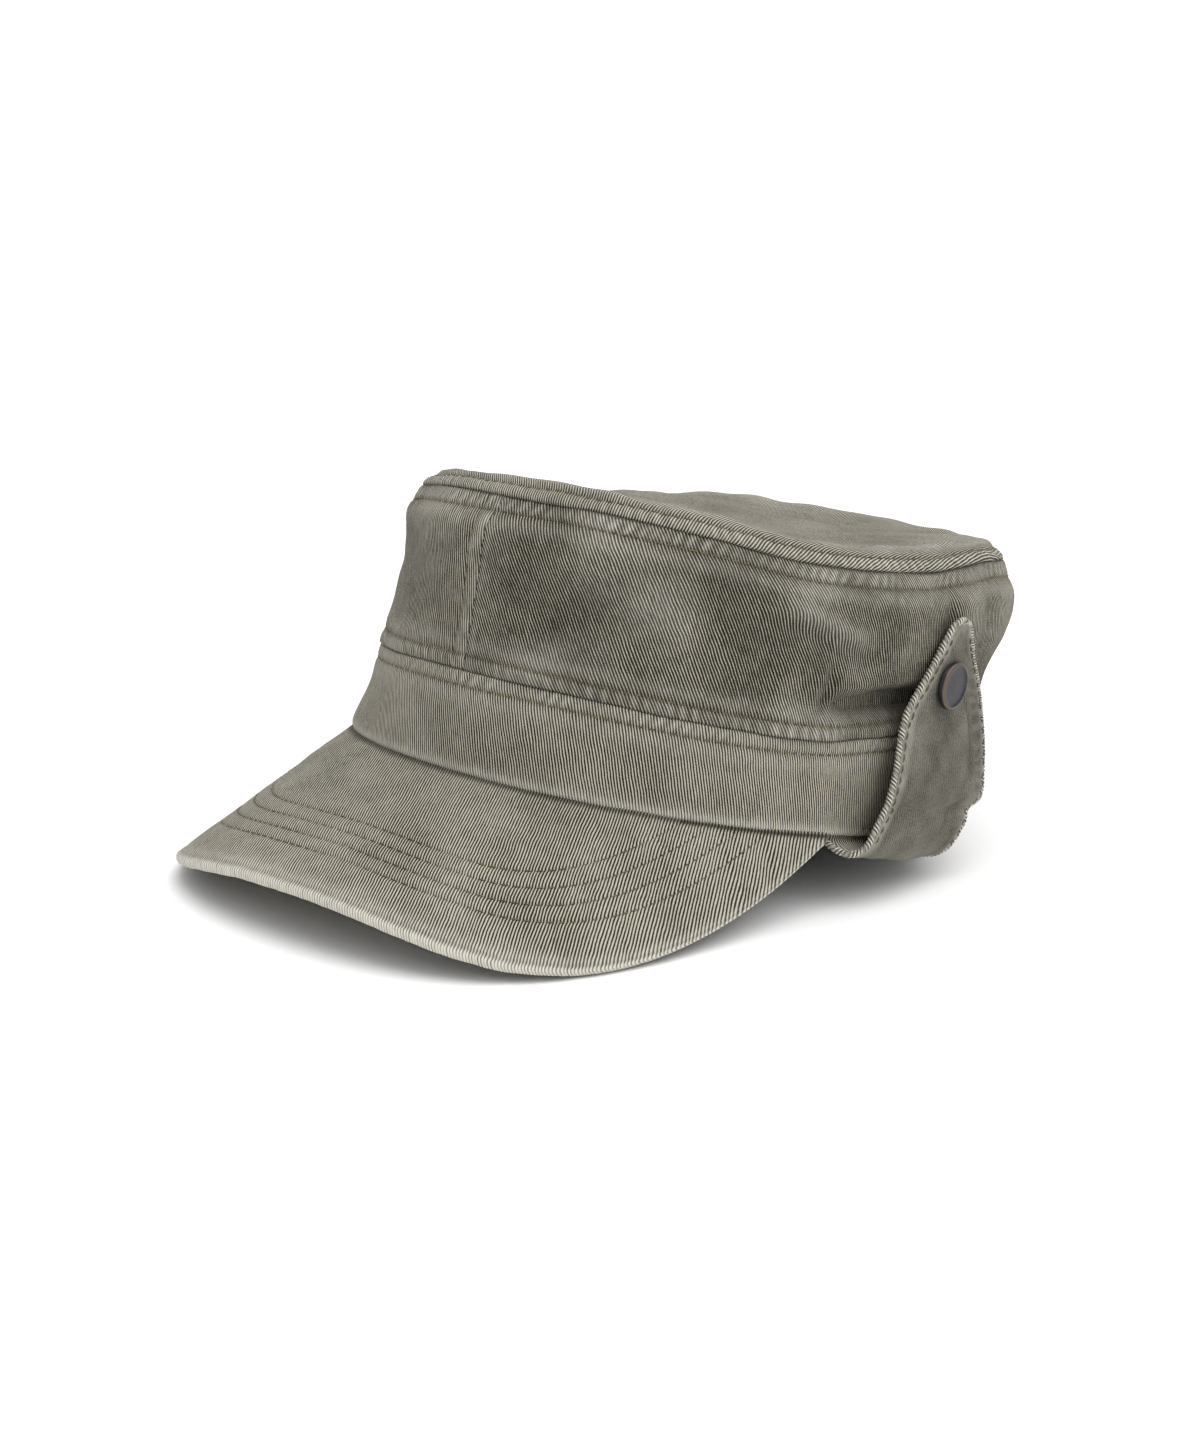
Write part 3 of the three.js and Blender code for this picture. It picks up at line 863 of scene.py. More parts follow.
@dataclass(frozen=True)
class SnapFinish:
    """Dark gunmetal lacquer, worn to bronze on its rolled edge."""

    name: str = "gunmetal"
    lacquer: Colour = srgb(58, 57, 61)
    bronze: Colour = srgb(116, 95, 75)
    scuff: Colour = srgb(96, 95, 99)
    slot: str = "gunmetal"

    def material(self) -> bpy.types.Material:
        """Returns the material: lacquer with fine scuffs, and bronze where the edge is worn."""
        shader = Shader(self.name)
        place = shader.node("ShaderNodeTexCoord", {}, {}, "Object")
        cloud = shader.noise(place, 260.0, 4.0, 0.6)
        scratch = shader.noise(place, 1500.0, 3.0, 0.7)
        wear = shader.attribute("wear")
        worn = (wear * (0.35 + cloud * 0.9)).held()
        base = shader.mix(((scratch - 0.5) * 1.4 + (cloud - 0.5)).held(), self.lacquer, self.scuff)
        shader.set(
            Base_Color=shader.mix(worn, base, self.bronze),
            Roughness=(0.4 + (cloud - 0.5) * 0.35 + (scratch - 0.5) * 0.2).held(),
            Normal=shader.bump(scratch, 0.00006, 0.4),
            Metallic=(0.86 - (cloud - 0.5) * 0.3).held(),
        )
        return shader.material


@dataclass(frozen=True)
class FloorFinish:
    """A plain pale studio floor."""

    name: str = "studio_floor"
    colour: Colour = srgb(246, 246, 246)

    def material(self) -> bpy.types.Material:
        """Returns the material: nearly white, with the faintest unevenness."""
        shader = Shader(self.name)
        place = shader.node("ShaderNodeTexCoord", {}, {}, "Object")
        cloud = shader.noise(place, 3.0, 2.0)
        shader.set(
            Base_Color=shader.mix(cloud * 0.02, self.colour, srgb(240, 240, 240)),
            Roughness=(0.9 + (cloud - 0.5) * 0.02).held(),
            Specular_IOR_Level=0.1,
        )
        return shader.material


Finish = Union[TwillFinish, BrushedFinish, ThreadFinish, SnapFinish]


@dataclass
class Wardrobe:
    """The cap's finishes, each built once."""

    built: dict[str, bpy.types.Material] = field(default_factory=dict)

    def get(self, finish: Finish) -> bpy.types.Material:
        """Returns a finish's material, building it the first time."""
        if finish.name not in self.built:
            self.built[finish.name] = finish.material()
        return self.built[finish.name]


@dataclass
class Studio:
    """What every piece needs: the cap's form, its place in the frame and its finishes."""

    form: CapForm
    place: Placement
    wardrobe: Wardrobe = field(default_factory=Wardrobe)

    def grid(
        self,
        name: str,
        points: Array,
        flat: Array,
        relief: tuple[Array, Array],
        finish: Finish,
        nodes: Sequence[str] = (),
        wraps: bool = False,
    ) -> bpy.types.Object:
        """Makes a closed piece from a grid whose columns close on themselves.

        Args:
            name: The piece's name.
            points: The grid, rows by columns, of the upright cap.
            flat: Each point's place on the flat cloth, with a row and a column more where the grid closes.
            relief: Each point's paleness from wearing and painted highlights, and its painted shade.
            finish: The piece's finish.
            nodes: The frame's nodes that it stands for.
            wraps: Whether the rows close on themselves too. Otherwise the two ends are capped.

        Returns:
            The piece.
        """
        rows, columns = points.shape[:2]
        i, j = np.meshgrid(np.arange(rows if wraps else rows - 1), np.arange(columns), indexing="ij")
        next_i, next_j = i + 1, j + 1
        corners = [(i, j), (next_i, j), (next_i, next_j), (i, next_j)]
        quads = np.stack([(a % rows) * columns + b % columns for a, b in corners], -1).reshape(-1, 4)
        places = np.stack([flat[a, b] for a, b in corners], -2).reshape(-1, 4, 2)
        placed = self.place.points(points.reshape(-1, 3))
        a, b, c, d = (placed[quads[:, k]] for k in range(4))
        if (np.cross(c - a, d - b) * (a + b + c + d)).sum() < 0:
            quads, places = quads[:, ::-1], places[:, ::-1]
            ends = [np.arange(columns), (rows - 1) * columns + np.arange(columns)[::-1]]
        else:
            ends = [np.arange(columns)[::-1], (rows - 1) * columns + np.arange(columns)]
        loops, uvs = quads.ravel(), places.reshape(-1, 2)
        sizes = np.full(len(quads), 4)
        if not wraps:
            loops = np.concatenate([loops, *ends])
            end_places = [flat[end // columns, end % columns] for end in ends]
            uvs = np.concatenate([uvs, *end_places])
            sizes = np.concatenate([sizes, [columns, columns]])
        return self.mesh(name, placed, loops, sizes, uvs, [array.ravel() for array in relief], finish, nodes)

    def mesh(
        self,
        name: str,
        placed: Array,
        loops: Array,
        sizes: Array,
        uvs: Optional[Array],
        relief: Optional[Sequence[Array]],
        finish: Finish,
        nodes: Sequence[str] = (),
    ) -> bpy.types.Object:
        """Puts arrays into a mesh object that rides on the cap and takes its finish's material.

        Args:
            name: The piece's name.
            placed: Its corners, in the frame's metres.
            loops: The corners of its faces, one after another.
            sizes: How many corners each face has.
            uvs: Each loop's place on the flat cloth, in millimetres.
            relief: Each corner's paleness from wearing and painted highlights, and its painted shade.
            finish: The piece's finish.
            nodes: The frame's nodes that it stands for.

        Returns:
            The object, at the origin.
        """
        data = bpy.data.meshes.new(name)
        data.vertices.add(len(placed))
        data.vertices.foreach_set("co", placed.astype(np.float32).ravel())
        data.loops.add(len(loops))
        data.loops.foreach_set("vertex_index", loops.astype(np.int32))
        data.polygons.add(len(sizes))
        starts = np.concatenate([[0], np.cumsum(sizes)[:-1]])
        data.polygons.foreach_set("loop_start", starts.astype(np.int32))
        if uvs is not None:
            layer = data.uv_layers.new(name="cloth")
            layer.uv.foreach_set("vector", uvs.astype(np.float32).ravel())
        for word, values in zip(("wear", "shade"), relief or ()):
            attribute = data.attributes.new(word, "FLOAT", "POINT")
            attribute.data.foreach_set("value", np.clip(values, 0, 1.5).astype(np.float32))
        data.update(calc_edges=True)
        data.validate()
        work = bmesh.new()
        work.from_mesh(data)
        bmesh.ops.remove_doubles(work, verts=work.verts, dist=2e-6)
        bmesh.ops.dissolve_degenerate(work, edges=work.edges, dist=1e-7)
        work.to_mesh(data)
        work.free()
        data.polygons.foreach_set("use_smooth", np.ones(len(data.polygons), bool))
        piece = bpy.data.objects.new(name, data)
        bpy.context.scene.collection.objects.link(piece)
        data.materials.append(self.wardrobe.get(finish))
        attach(piece, "root")
        if nodes:
            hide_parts(*nodes)
        LOG.info("%s: %d faces", name, len(data.polygons))
        return piece


@dataclass
class Sewing:
    """Rows of stitches: short threads that dip into the cloth at both ends."""

    studio: Studio
    stitch: float = 2.7
    space: float = 0.8
    width: float = 0.54
    height: float = 0.46
    lift: float = 0.16
    dip: float = 0.3
    end_swell: float = 0.06
    bluntness: float = 0.6
    stations: int = 6
    sides: int = 6
    rows: list[Array] = field(default_factory=list)

    def row(self, path: Array, normals: Array, girth: float = 1.0) -> None:
        """Adds a row of stitches.

        Each stitch is a tube whose section shrinks to its ends and whose middle line rises by a half
        sine from below the cloth.

        Args:
            path: Points along the row.
            normals: The cloth's outward direction at each.
            girth: The thread's share of its usual thickness.
        """
        along = length_along(path)
        pitch = self.stitch + self.space
        count = int(along[-1] / pitch)
        if count < 1:
            return
        share = np.linspace(0, 1, self.stations)
        places = (np.arange(count)[:, None] * pitch + share[None, :] * self.stitch).ravel()
        line, outward = picked(path, along, places), unit(picked(normals, along, places))
        ahead = unit(picked(np.gradient(path, axis=0), along, places))
        side = np.cross(ahead, outward)
        inner_share = self.end_swell + (1 - 2 * self.end_swell) * share
        swell = np.tile(np.sin(np.pi * inner_share), count)[:, None]
        thick = girth / 2 * swell[:, None, :] ** self.bluntness
        line = line + outward * (self.lift * swell - self.dip * (1 - swell))
        turn = np.linspace(0, 2 * np.pi, self.sides, endpoint=False)
        ring = (
            line[:, None, :]
            + side[:, None, :] * (np.cos(turn)[None, :, None] * self.width * thick)
            + outward[:, None, :] * (np.sin(turn)[None, :, None] * self.height * thick)
        )
        self.rows.append(ring.reshape(count, self.stations, self.sides, 3))

    def finish(self, name: str, thread: ThreadFinish = ThreadFinish()) -> bpy.types.Object:
        """Makes all the rows so far into one piece of thread, and starts again.

        Args:
            name: The piece's name.
            thread: The thread's finish.

        Returns:
            The piece.
        """
        rings = np.concatenate(self.rows)
        self.rows = []
        count, stations, sides = rings.shape[:3]
        s, k = np.meshgrid(np.arange(stations - 1), np.arange(sides), indexing="ij")
        after = (k + 1) % sides
        quads = np.stack([s * sides + k, s * sides + after, (s + 1) * sides + after, (s + 1) * sides + k], -1)
        quads = quads.reshape(-1, 4)
        caps = np.stack([np.arange(sides)[::-1], (stations - 1) * sides + np.arange(sides)])
        starts = np.arange(count)[:, None, None] * stations * sides
        loops = np.concatenate([(quads[None] + starts).ravel(), (caps[None] + starts).ravel()])
        sizes = np.concatenate([np.full(count * len(quads), 4), np.full(count * 2, sides)])
        placed = self.studio.place.points(rings.reshape(-1, 3))
        return self.studio.mesh(name, placed, loops, sizes, None, None, thread)


def closed_flat(flat: Array, wraps: bool, across: float = 0.0) -> Array:
    """Adds to flat coordinates the column, and the row, where a grid closes.

    Args:
        flat: Flat places, rows by columns.
        wraps: Whether the rows close too.
        across: How far the closing row lies beyond the first one.

    Returns:
        The larger grid.
    """
    flat = np.concatenate([flat, flat[:, :1]], axis=1)
    if wraps:
        flat = np.concatenate([flat, flat[:1] + np.array([across, 0.0])], axis=0)
    return flat


@dataclass
class Band:
    """The band: a hemmed ring of cloth below the crown."""

    studio: Studio
    around: int = 780
    outer_rows: int = 44
    inner_rows: int = 8
    hem: float = 2.6
    hem_row_from: float = 88.0
    seam_points: int = 1600
    hem_points: int = 800
    edge_depth: float = 0.5
    groove_depth: float = 0.3
    gather_depth: float = 0.18
    inner_cloth_from: float = 40.0
    finish: TwillFinish = TwillFinish("band_twill", 19.0, brightness=-0.07)

    def relief(self, angle: Array, height: Array, points: Array) -> Relief:
        """Works out the band's fine relief: its seam, its hem and soft ripples.

        Args:
            angle: Angles from the front.
            height: Heights above the lower edge.
            points: The plain wall's points.

        Returns:
            The relief.
        """
        form = self.studio.form
        seam = form.seam_relief(form.band_seam(angle) - height, form.arc(angle), points, 11)
        behind = 1 / (1 + np.exp(-(np.degrees(np.abs(angle)) - self.hem_row_from) / 1.5))
        edge = bell(height, 1.0)
        stitch = bell(height - self.hem, 0.7) * behind
        wave = form.pucker(form.arc(angle) - 0.6 * height, points, 15)
        hem_zone = bell(height - 1.4, 2.2)
        ripple = 0.32 * smooth_noise(points, 30, 3) + 0.16 * smooth_noise(points * (1, 1, 0.4), 12, 4)
        gathers = self.gather_depth * wave * hem_zone * (0.4 + 0.6 * behind)
        off = -self.edge_depth * edge - self.groove_depth * stitch + gathers + ripple
        # Worn pale at the lower edge and over the hem, with a painted highlight on the ripples' bulges;
        # painted shade in the hem's stitch groove.
        wear = 0.4 * bell(height - 1.0, 1.3) + 0.2 * hem_zone + 0.12 * np.maximum(ripple, 0)
        return seam + Relief(off, wear, 0.3 * stitch)

    def outside(self, angle: Array, height: Array) -> Array:
        """Returns points of the band's outside with its relief."""
        form = self.studio.form
        plain = form.wall(angle, height)
        return form.wall(angle, height, self.relief(angle, height, plain).off)

    def build(self, sewing: Sewing) -> None:
        """Makes the band and its stitch rows.

        Args:
            sewing: Where its stitches go.
        """
        form = self.studio.form
        angle = form.angles(-np.pi, np.pi, self.around)[:-1, None]
        seam = form.band_seam(angle)
        share = 1 - (1 - np.linspace(0, 1, self.outer_rows)) ** 1.35
        height = 0.25 + share[None, :] * (seam - 0.4)
        outer_plain = form.wall(angle, height)
        relief = self.relief(np.broadcast_to(angle, height.shape), height, outer_plain)
        outer = form.wall(angle, height, relief.off)
        top_edge = form.wall(angle, seam + 0.1, -form.band_cloth * 0.6)
        inner_height = np.linspace(1, 0, self.inner_rows)[None, :] * (seam - 1.0) + 0.5
        inner = form.wall(angle, inner_height, -form.band_cloth)
        low_edge = form.wall(angle, np.zeros_like(angle), -form.band_cloth * np.array([[0.75, 0.35]]))
        points = np.concatenate([outer, top_edge, inner, low_edge], axis=1)
        extra = points.shape[1] - outer.shape[1]
        low_heights = np.zeros((len(angle), 2))
        heights = np.concatenate([height, seam, inner_height + self.inner_cloth_from, low_heights], 1)
        flat = np.stack([np.broadcast_to(form.arc(angle), heights.shape), heights], -1)
        flat = closed_flat(flat, True, form.girth)
        # Paleness from wearing and painted highlights, and painted shade; the tucked and inner cloth takes an
        # even painted shade.
        worn = widened(relief.wear, extra, 0.0), widened(relief.shade, extra, INNER_SHADE)
        self.studio.grid("band_cloth", points, flat, worn, self.finish, ["band"], wraps=True)
        around = form.angles(-np.pi, np.pi, self.seam_points)
        self.stitch_line(sewing, around, form.band_seam(around) - form.stitch_from_seam)
        behind = form.angles(math.radians(90), math.radians(270), self.hem_points)
        self.stitch_line(sewing, behind, np.full_like(behind, self.hem))

    def stitch_line(self, sewing: Sewing, angle: Array, height: Array) -> None:
        """Sews a row along the band's outside at the given angles and heights."""
        grid = self.outside(angle[:, None], height[:, None] + STRIP)
        sewing.row(grid[:, 1], normals_of(grid)[:, 1])


@dataclass
class CrownSide:
    """One side of the crown, from the front seam to the back seam."""

    studio: Studio
    side: Side
    around: int = 390
    outer_rows: int = 84
    inner_rows: int = 8
    front_seam_stitch: float = 5.3
    lap_height: float = 0.34
    groove_depth: float = 0.26
    gather_depth: float = 0.16
    inner_cloth_from: float = 90.0
    row_end: float = 5.2
    row_points: int = 160
    row_margin: float = 0.012
    seam_points: int = 900

    def seam_strip(self, along: Array, points: Array, seed: int) -> Relief:
        """Works out the upright seam's relief, by distance from it: the wearer's right laps over.

        Args:
            along: Distance from the seam, growing towards the wearer's left.
            points: The plain wall's points.
            seed: The seed of its gathers.

        Returns:
            The relief.
        """
        width = self.front_seam_stitch
        over = -along
        wave = smooth_noise(points, 7.5, seed)
        pad = np.sin(np.pi * np.clip(over / width, 0, 1)) ** 0.5
        groove = bell(over - width, 0.8)
        crack = bell(along, 0.5)
        off = self.lap_height * pad - self.groove_depth * groove + self.gather_depth * wave * bell(along, 8)
        # Pale on the lapped pad from wearing and a painted highlight, with painted highlights on its gathers'
        # crests and worn pale along the lap's edge; painted shade in the crack and the groove.
        wear = pad * (0.08 + 0.25 * np.maximum(wave, 0)) + 0.12 * bell(along - 1.6, 1.2)
        return Relief(off, wear, 0.12 * crack + 0.2 * groove)

    def relief(self, angle: Array, height: Array, points: Array) -> Relief:
        """Works out the side's fine relief: its seams, creases and slack cloth.

        Args:
            angle: Angles from the front.
            height: Heights above the band's lower edge.
            points: The plain wall's points.

        Returns:
            The relief.
        """
        form = self.studio.form
        along = form.arc(angle)
        total = form.seam_relief(form.top_seam(angle) - height, along, points, 21)
        total += Relief(-form.lean_in(form.top_seam(angle) - height), 0 * height, 0 * height)
        total += form.seam_relief(height - form.band_seam(angle), along, points, 31)
        total += self.seam_strip(along, points, 41)
        half = form.arc(np.pi)
        from_back = np.where(along > 0, along - half, along + half)
        total += self.seam_strip(from_back, points, 43)
        total += self.creases(along, height)
        slack = layered(points, CROWN_SLACK)
        # Painted highlight where the slack cloth bulges out, painted shade where it sinks in.
        return total + Relief(slack, 0.14 * np.maximum(slack, 0), 0.12 * np.maximum(-slack, 0))

    def creases(self, along: Array, height: Array) -> Relief:
        """Works out the folds: a ridge or valley round each straight line of the table.

        Args:
            along: Distance round the side.
            height: Height above the band's lower edge.

        Returns:
            The relief.
        """
        form = self.studio.form
        off = np.zeros(np.broadcast(along, height).shape)
        wear, shade = np.zeros_like(off), np.zeros_like(off)
        for row in CREASES:
            start = np.array([form.arc(math.radians(row.angle)), row.height])
            end = np.array([form.arc(math.radians(row.to_angle)), row.to_height])
            line = end - start
            length = np.linalg.norm(line)
            x, y = along - start[0], height - start[1]
            on = (x * line[0] + y * line[1]) / length**2
            aside = (x * line[1] - y * line[0]) / length
            fade = bell(np.maximum(np.abs(on - 0.5) - 0.3, 0), 0.22)
            fold = bell(aside, row.width) * fade
            lip = bell(np.abs(aside) - 2.1 * row.width, row.width) * fade
            off += row.depth * (fold - 0.28 * lip)
            # Raised folds turn pale from wearing and a painted highlight; sunken folds get painted shade.
            if row.depth > 0:
                wear += 0.16 * row.depth * fold
            else:
                shade -= 0.12 * row.depth * fold
        return Relief(off, wear, shade)

    def outside(self, angle: Array, height: Array) -> Array:
        """Returns points of the side's outside with its relief."""
        form = self.studio.form
        angle, height = np.broadcast_arrays(angle, height)
        plain = form.wall(angle, height)
        return form.wall(angle, height, self.relief(angle, height, plain).off)

    def build(self, sewing: Sewing) -> None:
        """Makes the side and its stitch rows.

        Args:
            sewing: Where its stitches go.
        """
        form, turn = self.studio.form, self.side.value
        edge = 0.01 / form.half_width
        angle = form.angles(edge, np.pi - edge, self.around)
        angle = turn * np.insert(angle, [1, -1], [4 * edge, np.pi - 4 * edge])[:, None]
        low, high = form.band_seam(angle) + 0.05, form.top_seam(angle) + 0.1
        spread = np.linspace(-1, 1, self.outer_rows)
        share = 0.5 + 0.5 * np.sign(spread) * (1 - (1 - np.abs(spread)) ** 1.4)
        height = low + share[None, :] * (high - low)
        plain = form.wall(angle, height)
        relief = self.relief(np.broadcast_to(angle, height.shape), height, plain)
        outer = form.wall(angle, height, relief.off)
        inner_share = np.linspace(1, 0, self.inner_rows)[None, :]
        inner_height = low + 0.2 + inner_share * (high - low - 0.4)
        inner_relief = self.creases(form.arc(angle), inner_height).off
        inner_relief = inner_relief - form.lean_in(form.top_seam(angle) - inner_height)
        inner = form.wall(angle, inner_height, inner_relief - form.cloth - 0.6)
        high_tuck = form.wall(angle, high + 0.35, -1.1 - form.dome)
        low_tuck = form.wall(angle, low - 0.35, -1.1)
        points = np.concatenate([outer, high_tuck, inner, low_tuck], axis=1)
        inner_height = np.concatenate([high, inner_height, low], axis=1)
        extra = inner_height.shape[1]
        heights = np.concatenate([height, inner_height + self.inner_cloth_from], axis=1)
        flat = np.stack([np.broadcast_to(form.arc(angle), heights.shape), heights], -1)
        # Each side takes its own copy of the twill, the wearer's left set darker than the right: painted
        # shade for how the light falls on the two sides.
        lean, brightness = (33.0, -0.43) if self.side is Side.LEFT else (12.0, -0.27)
        finish = TwillFinish(f"crown_twill_{self.side.word}", lean, brightness=brightness)
        # Paleness from wearing and painted highlights, and painted shade; the tucked and inner cloth takes an
        # even painted shade.
        worn = widened(relief.wear, extra, 0.0), widened(relief.shade, extra, INNER_SHADE)
        flat, node = closed_flat(flat, False), f"crown_side_{self.side.word}"
        self.studio.grid(f"crown_cloth_{self.side.word}", points, flat, worn, finish, [node])
        around = turn * form.angles(self.row_margin, np.pi - self.row_margin, self.seam_points)
        self.stitch_line(sewing, around, form.top_seam(around) - form.stitch_from_seam)
        self.stitch_line(sewing, around, form.band_seam(around) + form.stitch_from_seam)
        self.upright_row(sewing)

    def upright_row(self, sewing: Sewing) -> None:
        """Sews the row beside the upright seam whose overlap lies on this side."""
        form = self.studio.form
        seam_arc = 0.0 if self.side is Side.RIGHT else float(form.arc(np.pi))
        angle = np.interp(seam_arc - self.front_seam_stitch, form.fine_lengths, form.fine_angles)
        angles = np.full(self.row_points, angle)
        low, high = form.band_seam(angle) + self.row_end, form.top_seam(angle) - self.row_end
        self.stitch_line(sewing, angles, np.linspace(low, high, self.row_points), upright=True)

    def stitch_line(self, sewing: Sewing, angle: Array, height: Array, upright: bool = False) -> None:
        """Sews a row along the side's outside.

        Args:
            sewing: Where the stitches go.
            angle: The row's angles.
            height: The row's heights.
            upright: Whether the row runs up the side.
        """
        if upright:
            grid = self.outside(angle[:, None] - STRIP / self.studio.form.half_width, height[:, None])
        else:
            grid = self.outside(angle[:, None], height[:, None] + STRIP)
        normal = normals_of(grid)[:, 1]
        outward = grid[:, 1] * (1, 1, 0)
        normal = normal * np.sign((normal * outward).sum(axis=1, keepdims=True))
        sewing.row(grid[:, 1], normal)


@dataclass
class TopPanel:
    """The soft top: a puffy rim over its seam and a slack middle."""

    studio: Studio
    around: int = 600
    outer_rows: int = 74
    inner_rows: int = 14
    seam_points: int = 1500
    finish: TwillFinish = TwillFinish("top_twill", 18.0, brightness=-0.15)

    def relief(self, angle: Array, inward: Array, points: Array, across: Array) -> Relief:
        """Works out the top's fine relief: its seam, rim folds and slack cloth.

        Args:
            angle: Angles from the front.
            inward: 0 at the seam and 1 at the middle.
            points: The plain top's points.
            across: The length over the cloth from the seam.

        Returns:
            The relief.
        """
        form = self.studio.form
        seam = form.seam_relief(across, form.arc(angle), points, 51)
        ease = np.clip(inward / 0.1, 0, 1)
        calm = np.clip((1 - inward) / 0.2, 0, 1)
        slack = layered(points, TOP_SLACK)
        rim_fold = 0.45 * smooth_noise(points, 16, 10) * bell(across - 14, 12)
        crest = bell(across - 12, 5)
        off = slack * ease * calm + rim_fold
        # The rim's crest turns pale from wearing and a painted highlight; bulges get a painted highlight and
        # hollows painted shade.
        return seam + Relief(off, 0.2 * crest + 0.1 * np.maximum(off, 0), 0.08 * np.maximum(-off, 0))

    def surface(self, angle: Array, inward: Array) -> tuple[Array, Relief, Array]:
        """Returns the top's outside with its relief, the relief, and the length over the cloth."""
        form = self.studio.form
        angle, inward = np.broadcast_arrays(angle, inward)
        plain = form.top(angle, inward)
        across = length_along(plain, axis=1)
        relief = self.relief(angle, inward, plain, across)
        return self.leaned(plain, across) + upwards(normals_of(plain)) * relief.off[..., None], relief, across

    def leaned(self, points: Array, across: Array) -> Array:
        """Returns the top's points leaned in towards its middle near the seam, by their distance from it."""
        form = self.studio.form
        middle = np.array([0.0, form.half_length * float(form.back(1.0)), 0.0])
        inwards = (middle - points) * (1, 1, 0)
        inwards /= np.maximum(np.linalg.norm(inwards, axis=-1, keepdims=True), 1e-6)
        return points + inwards * form.rim_lean_in(across)[..., None]

    def rows(self) -> Array:
        """Returns the rows' shares from seam to middle, close together over the rim."""
        return np.linspace(0, 1, self.outer_rows) ** 1.75

    def build(self, sewing: Sewing) -> None:
        """Makes the top panel and its stitch row.

        Args:
            sewing: Where its stitches go.
        """
        form = self.studio.form
        angle = form.angles(-np.pi, np.pi, self.around)[:, None]
        outer, relief, across = self.surface(angle, self.rows()[None, :])
        outer, across = outer[:-1], across[:-1]
        inner_share = 0.02 + 0.98 * np.linspace(1, 0, self.inner_rows) ** 1.9
        inner = form.top(angle[:-1], inner_share[None, :])
        side = form.wall(angle[:-1], form.top_seam(angle[:-1]), -form.cloth - form.dome)
        inner_across = length_along(inner[:, ::-1], axis=1)[:, ::-1]
        inner = self.leaned(inner, inner_across) - np.array([0.0, 0.0, form.cloth])
        inner[:, -1] = side[:, 0] * (0.985, 0.985, 1) - np.array([0.0, 0.0, form.gap])
        points = np.concatenate([outer, inner], axis=1)
        extra = inner.shape[1]
        middle = np.array([0.0, form.half_length * float(form.back(1.0))])
        ring = form.wall(angle, form.top_seam(angle))[:, 0, :2] - middle
        radius = np.linalg.norm(ring, axis=1)[:, None]
        reach = np.concatenate([across, inner_across], axis=1)
        reach = np.concatenate([reach, reach[:1]], axis=0)
        reach = np.concatenate([reach, reach[:, :1]], axis=1)
        flat = (ring / radius)[:, None, :] * (radius + 4 - reach)[..., None]
        # Paleness from wearing and painted highlights, and painted shade; the inner cloth takes an even
        # painted shade.
        worn = widened(relief.wear[:-1], extra, 0.0), widened(relief.shade[:-1], extra, INNER_SHADE)
        self.studio.grid("top_cloth", points, flat, worn, self.finish, ["top_panel"], wraps=True)
        around = form.angles(-np.pi, np.pi, self.seam_points)
        shares = np.linspace(0, 0.14, 60)[None, :]
        grid, _, across = self.surface(around[:, None], shares)
        column = np.argmin(np.abs(across - form.stitch_from_seam), axis=1)
        rows = np.arange(len(around))
        sewing.row(grid[rows, column], upwards(normals_of(grid)[rows, column]))


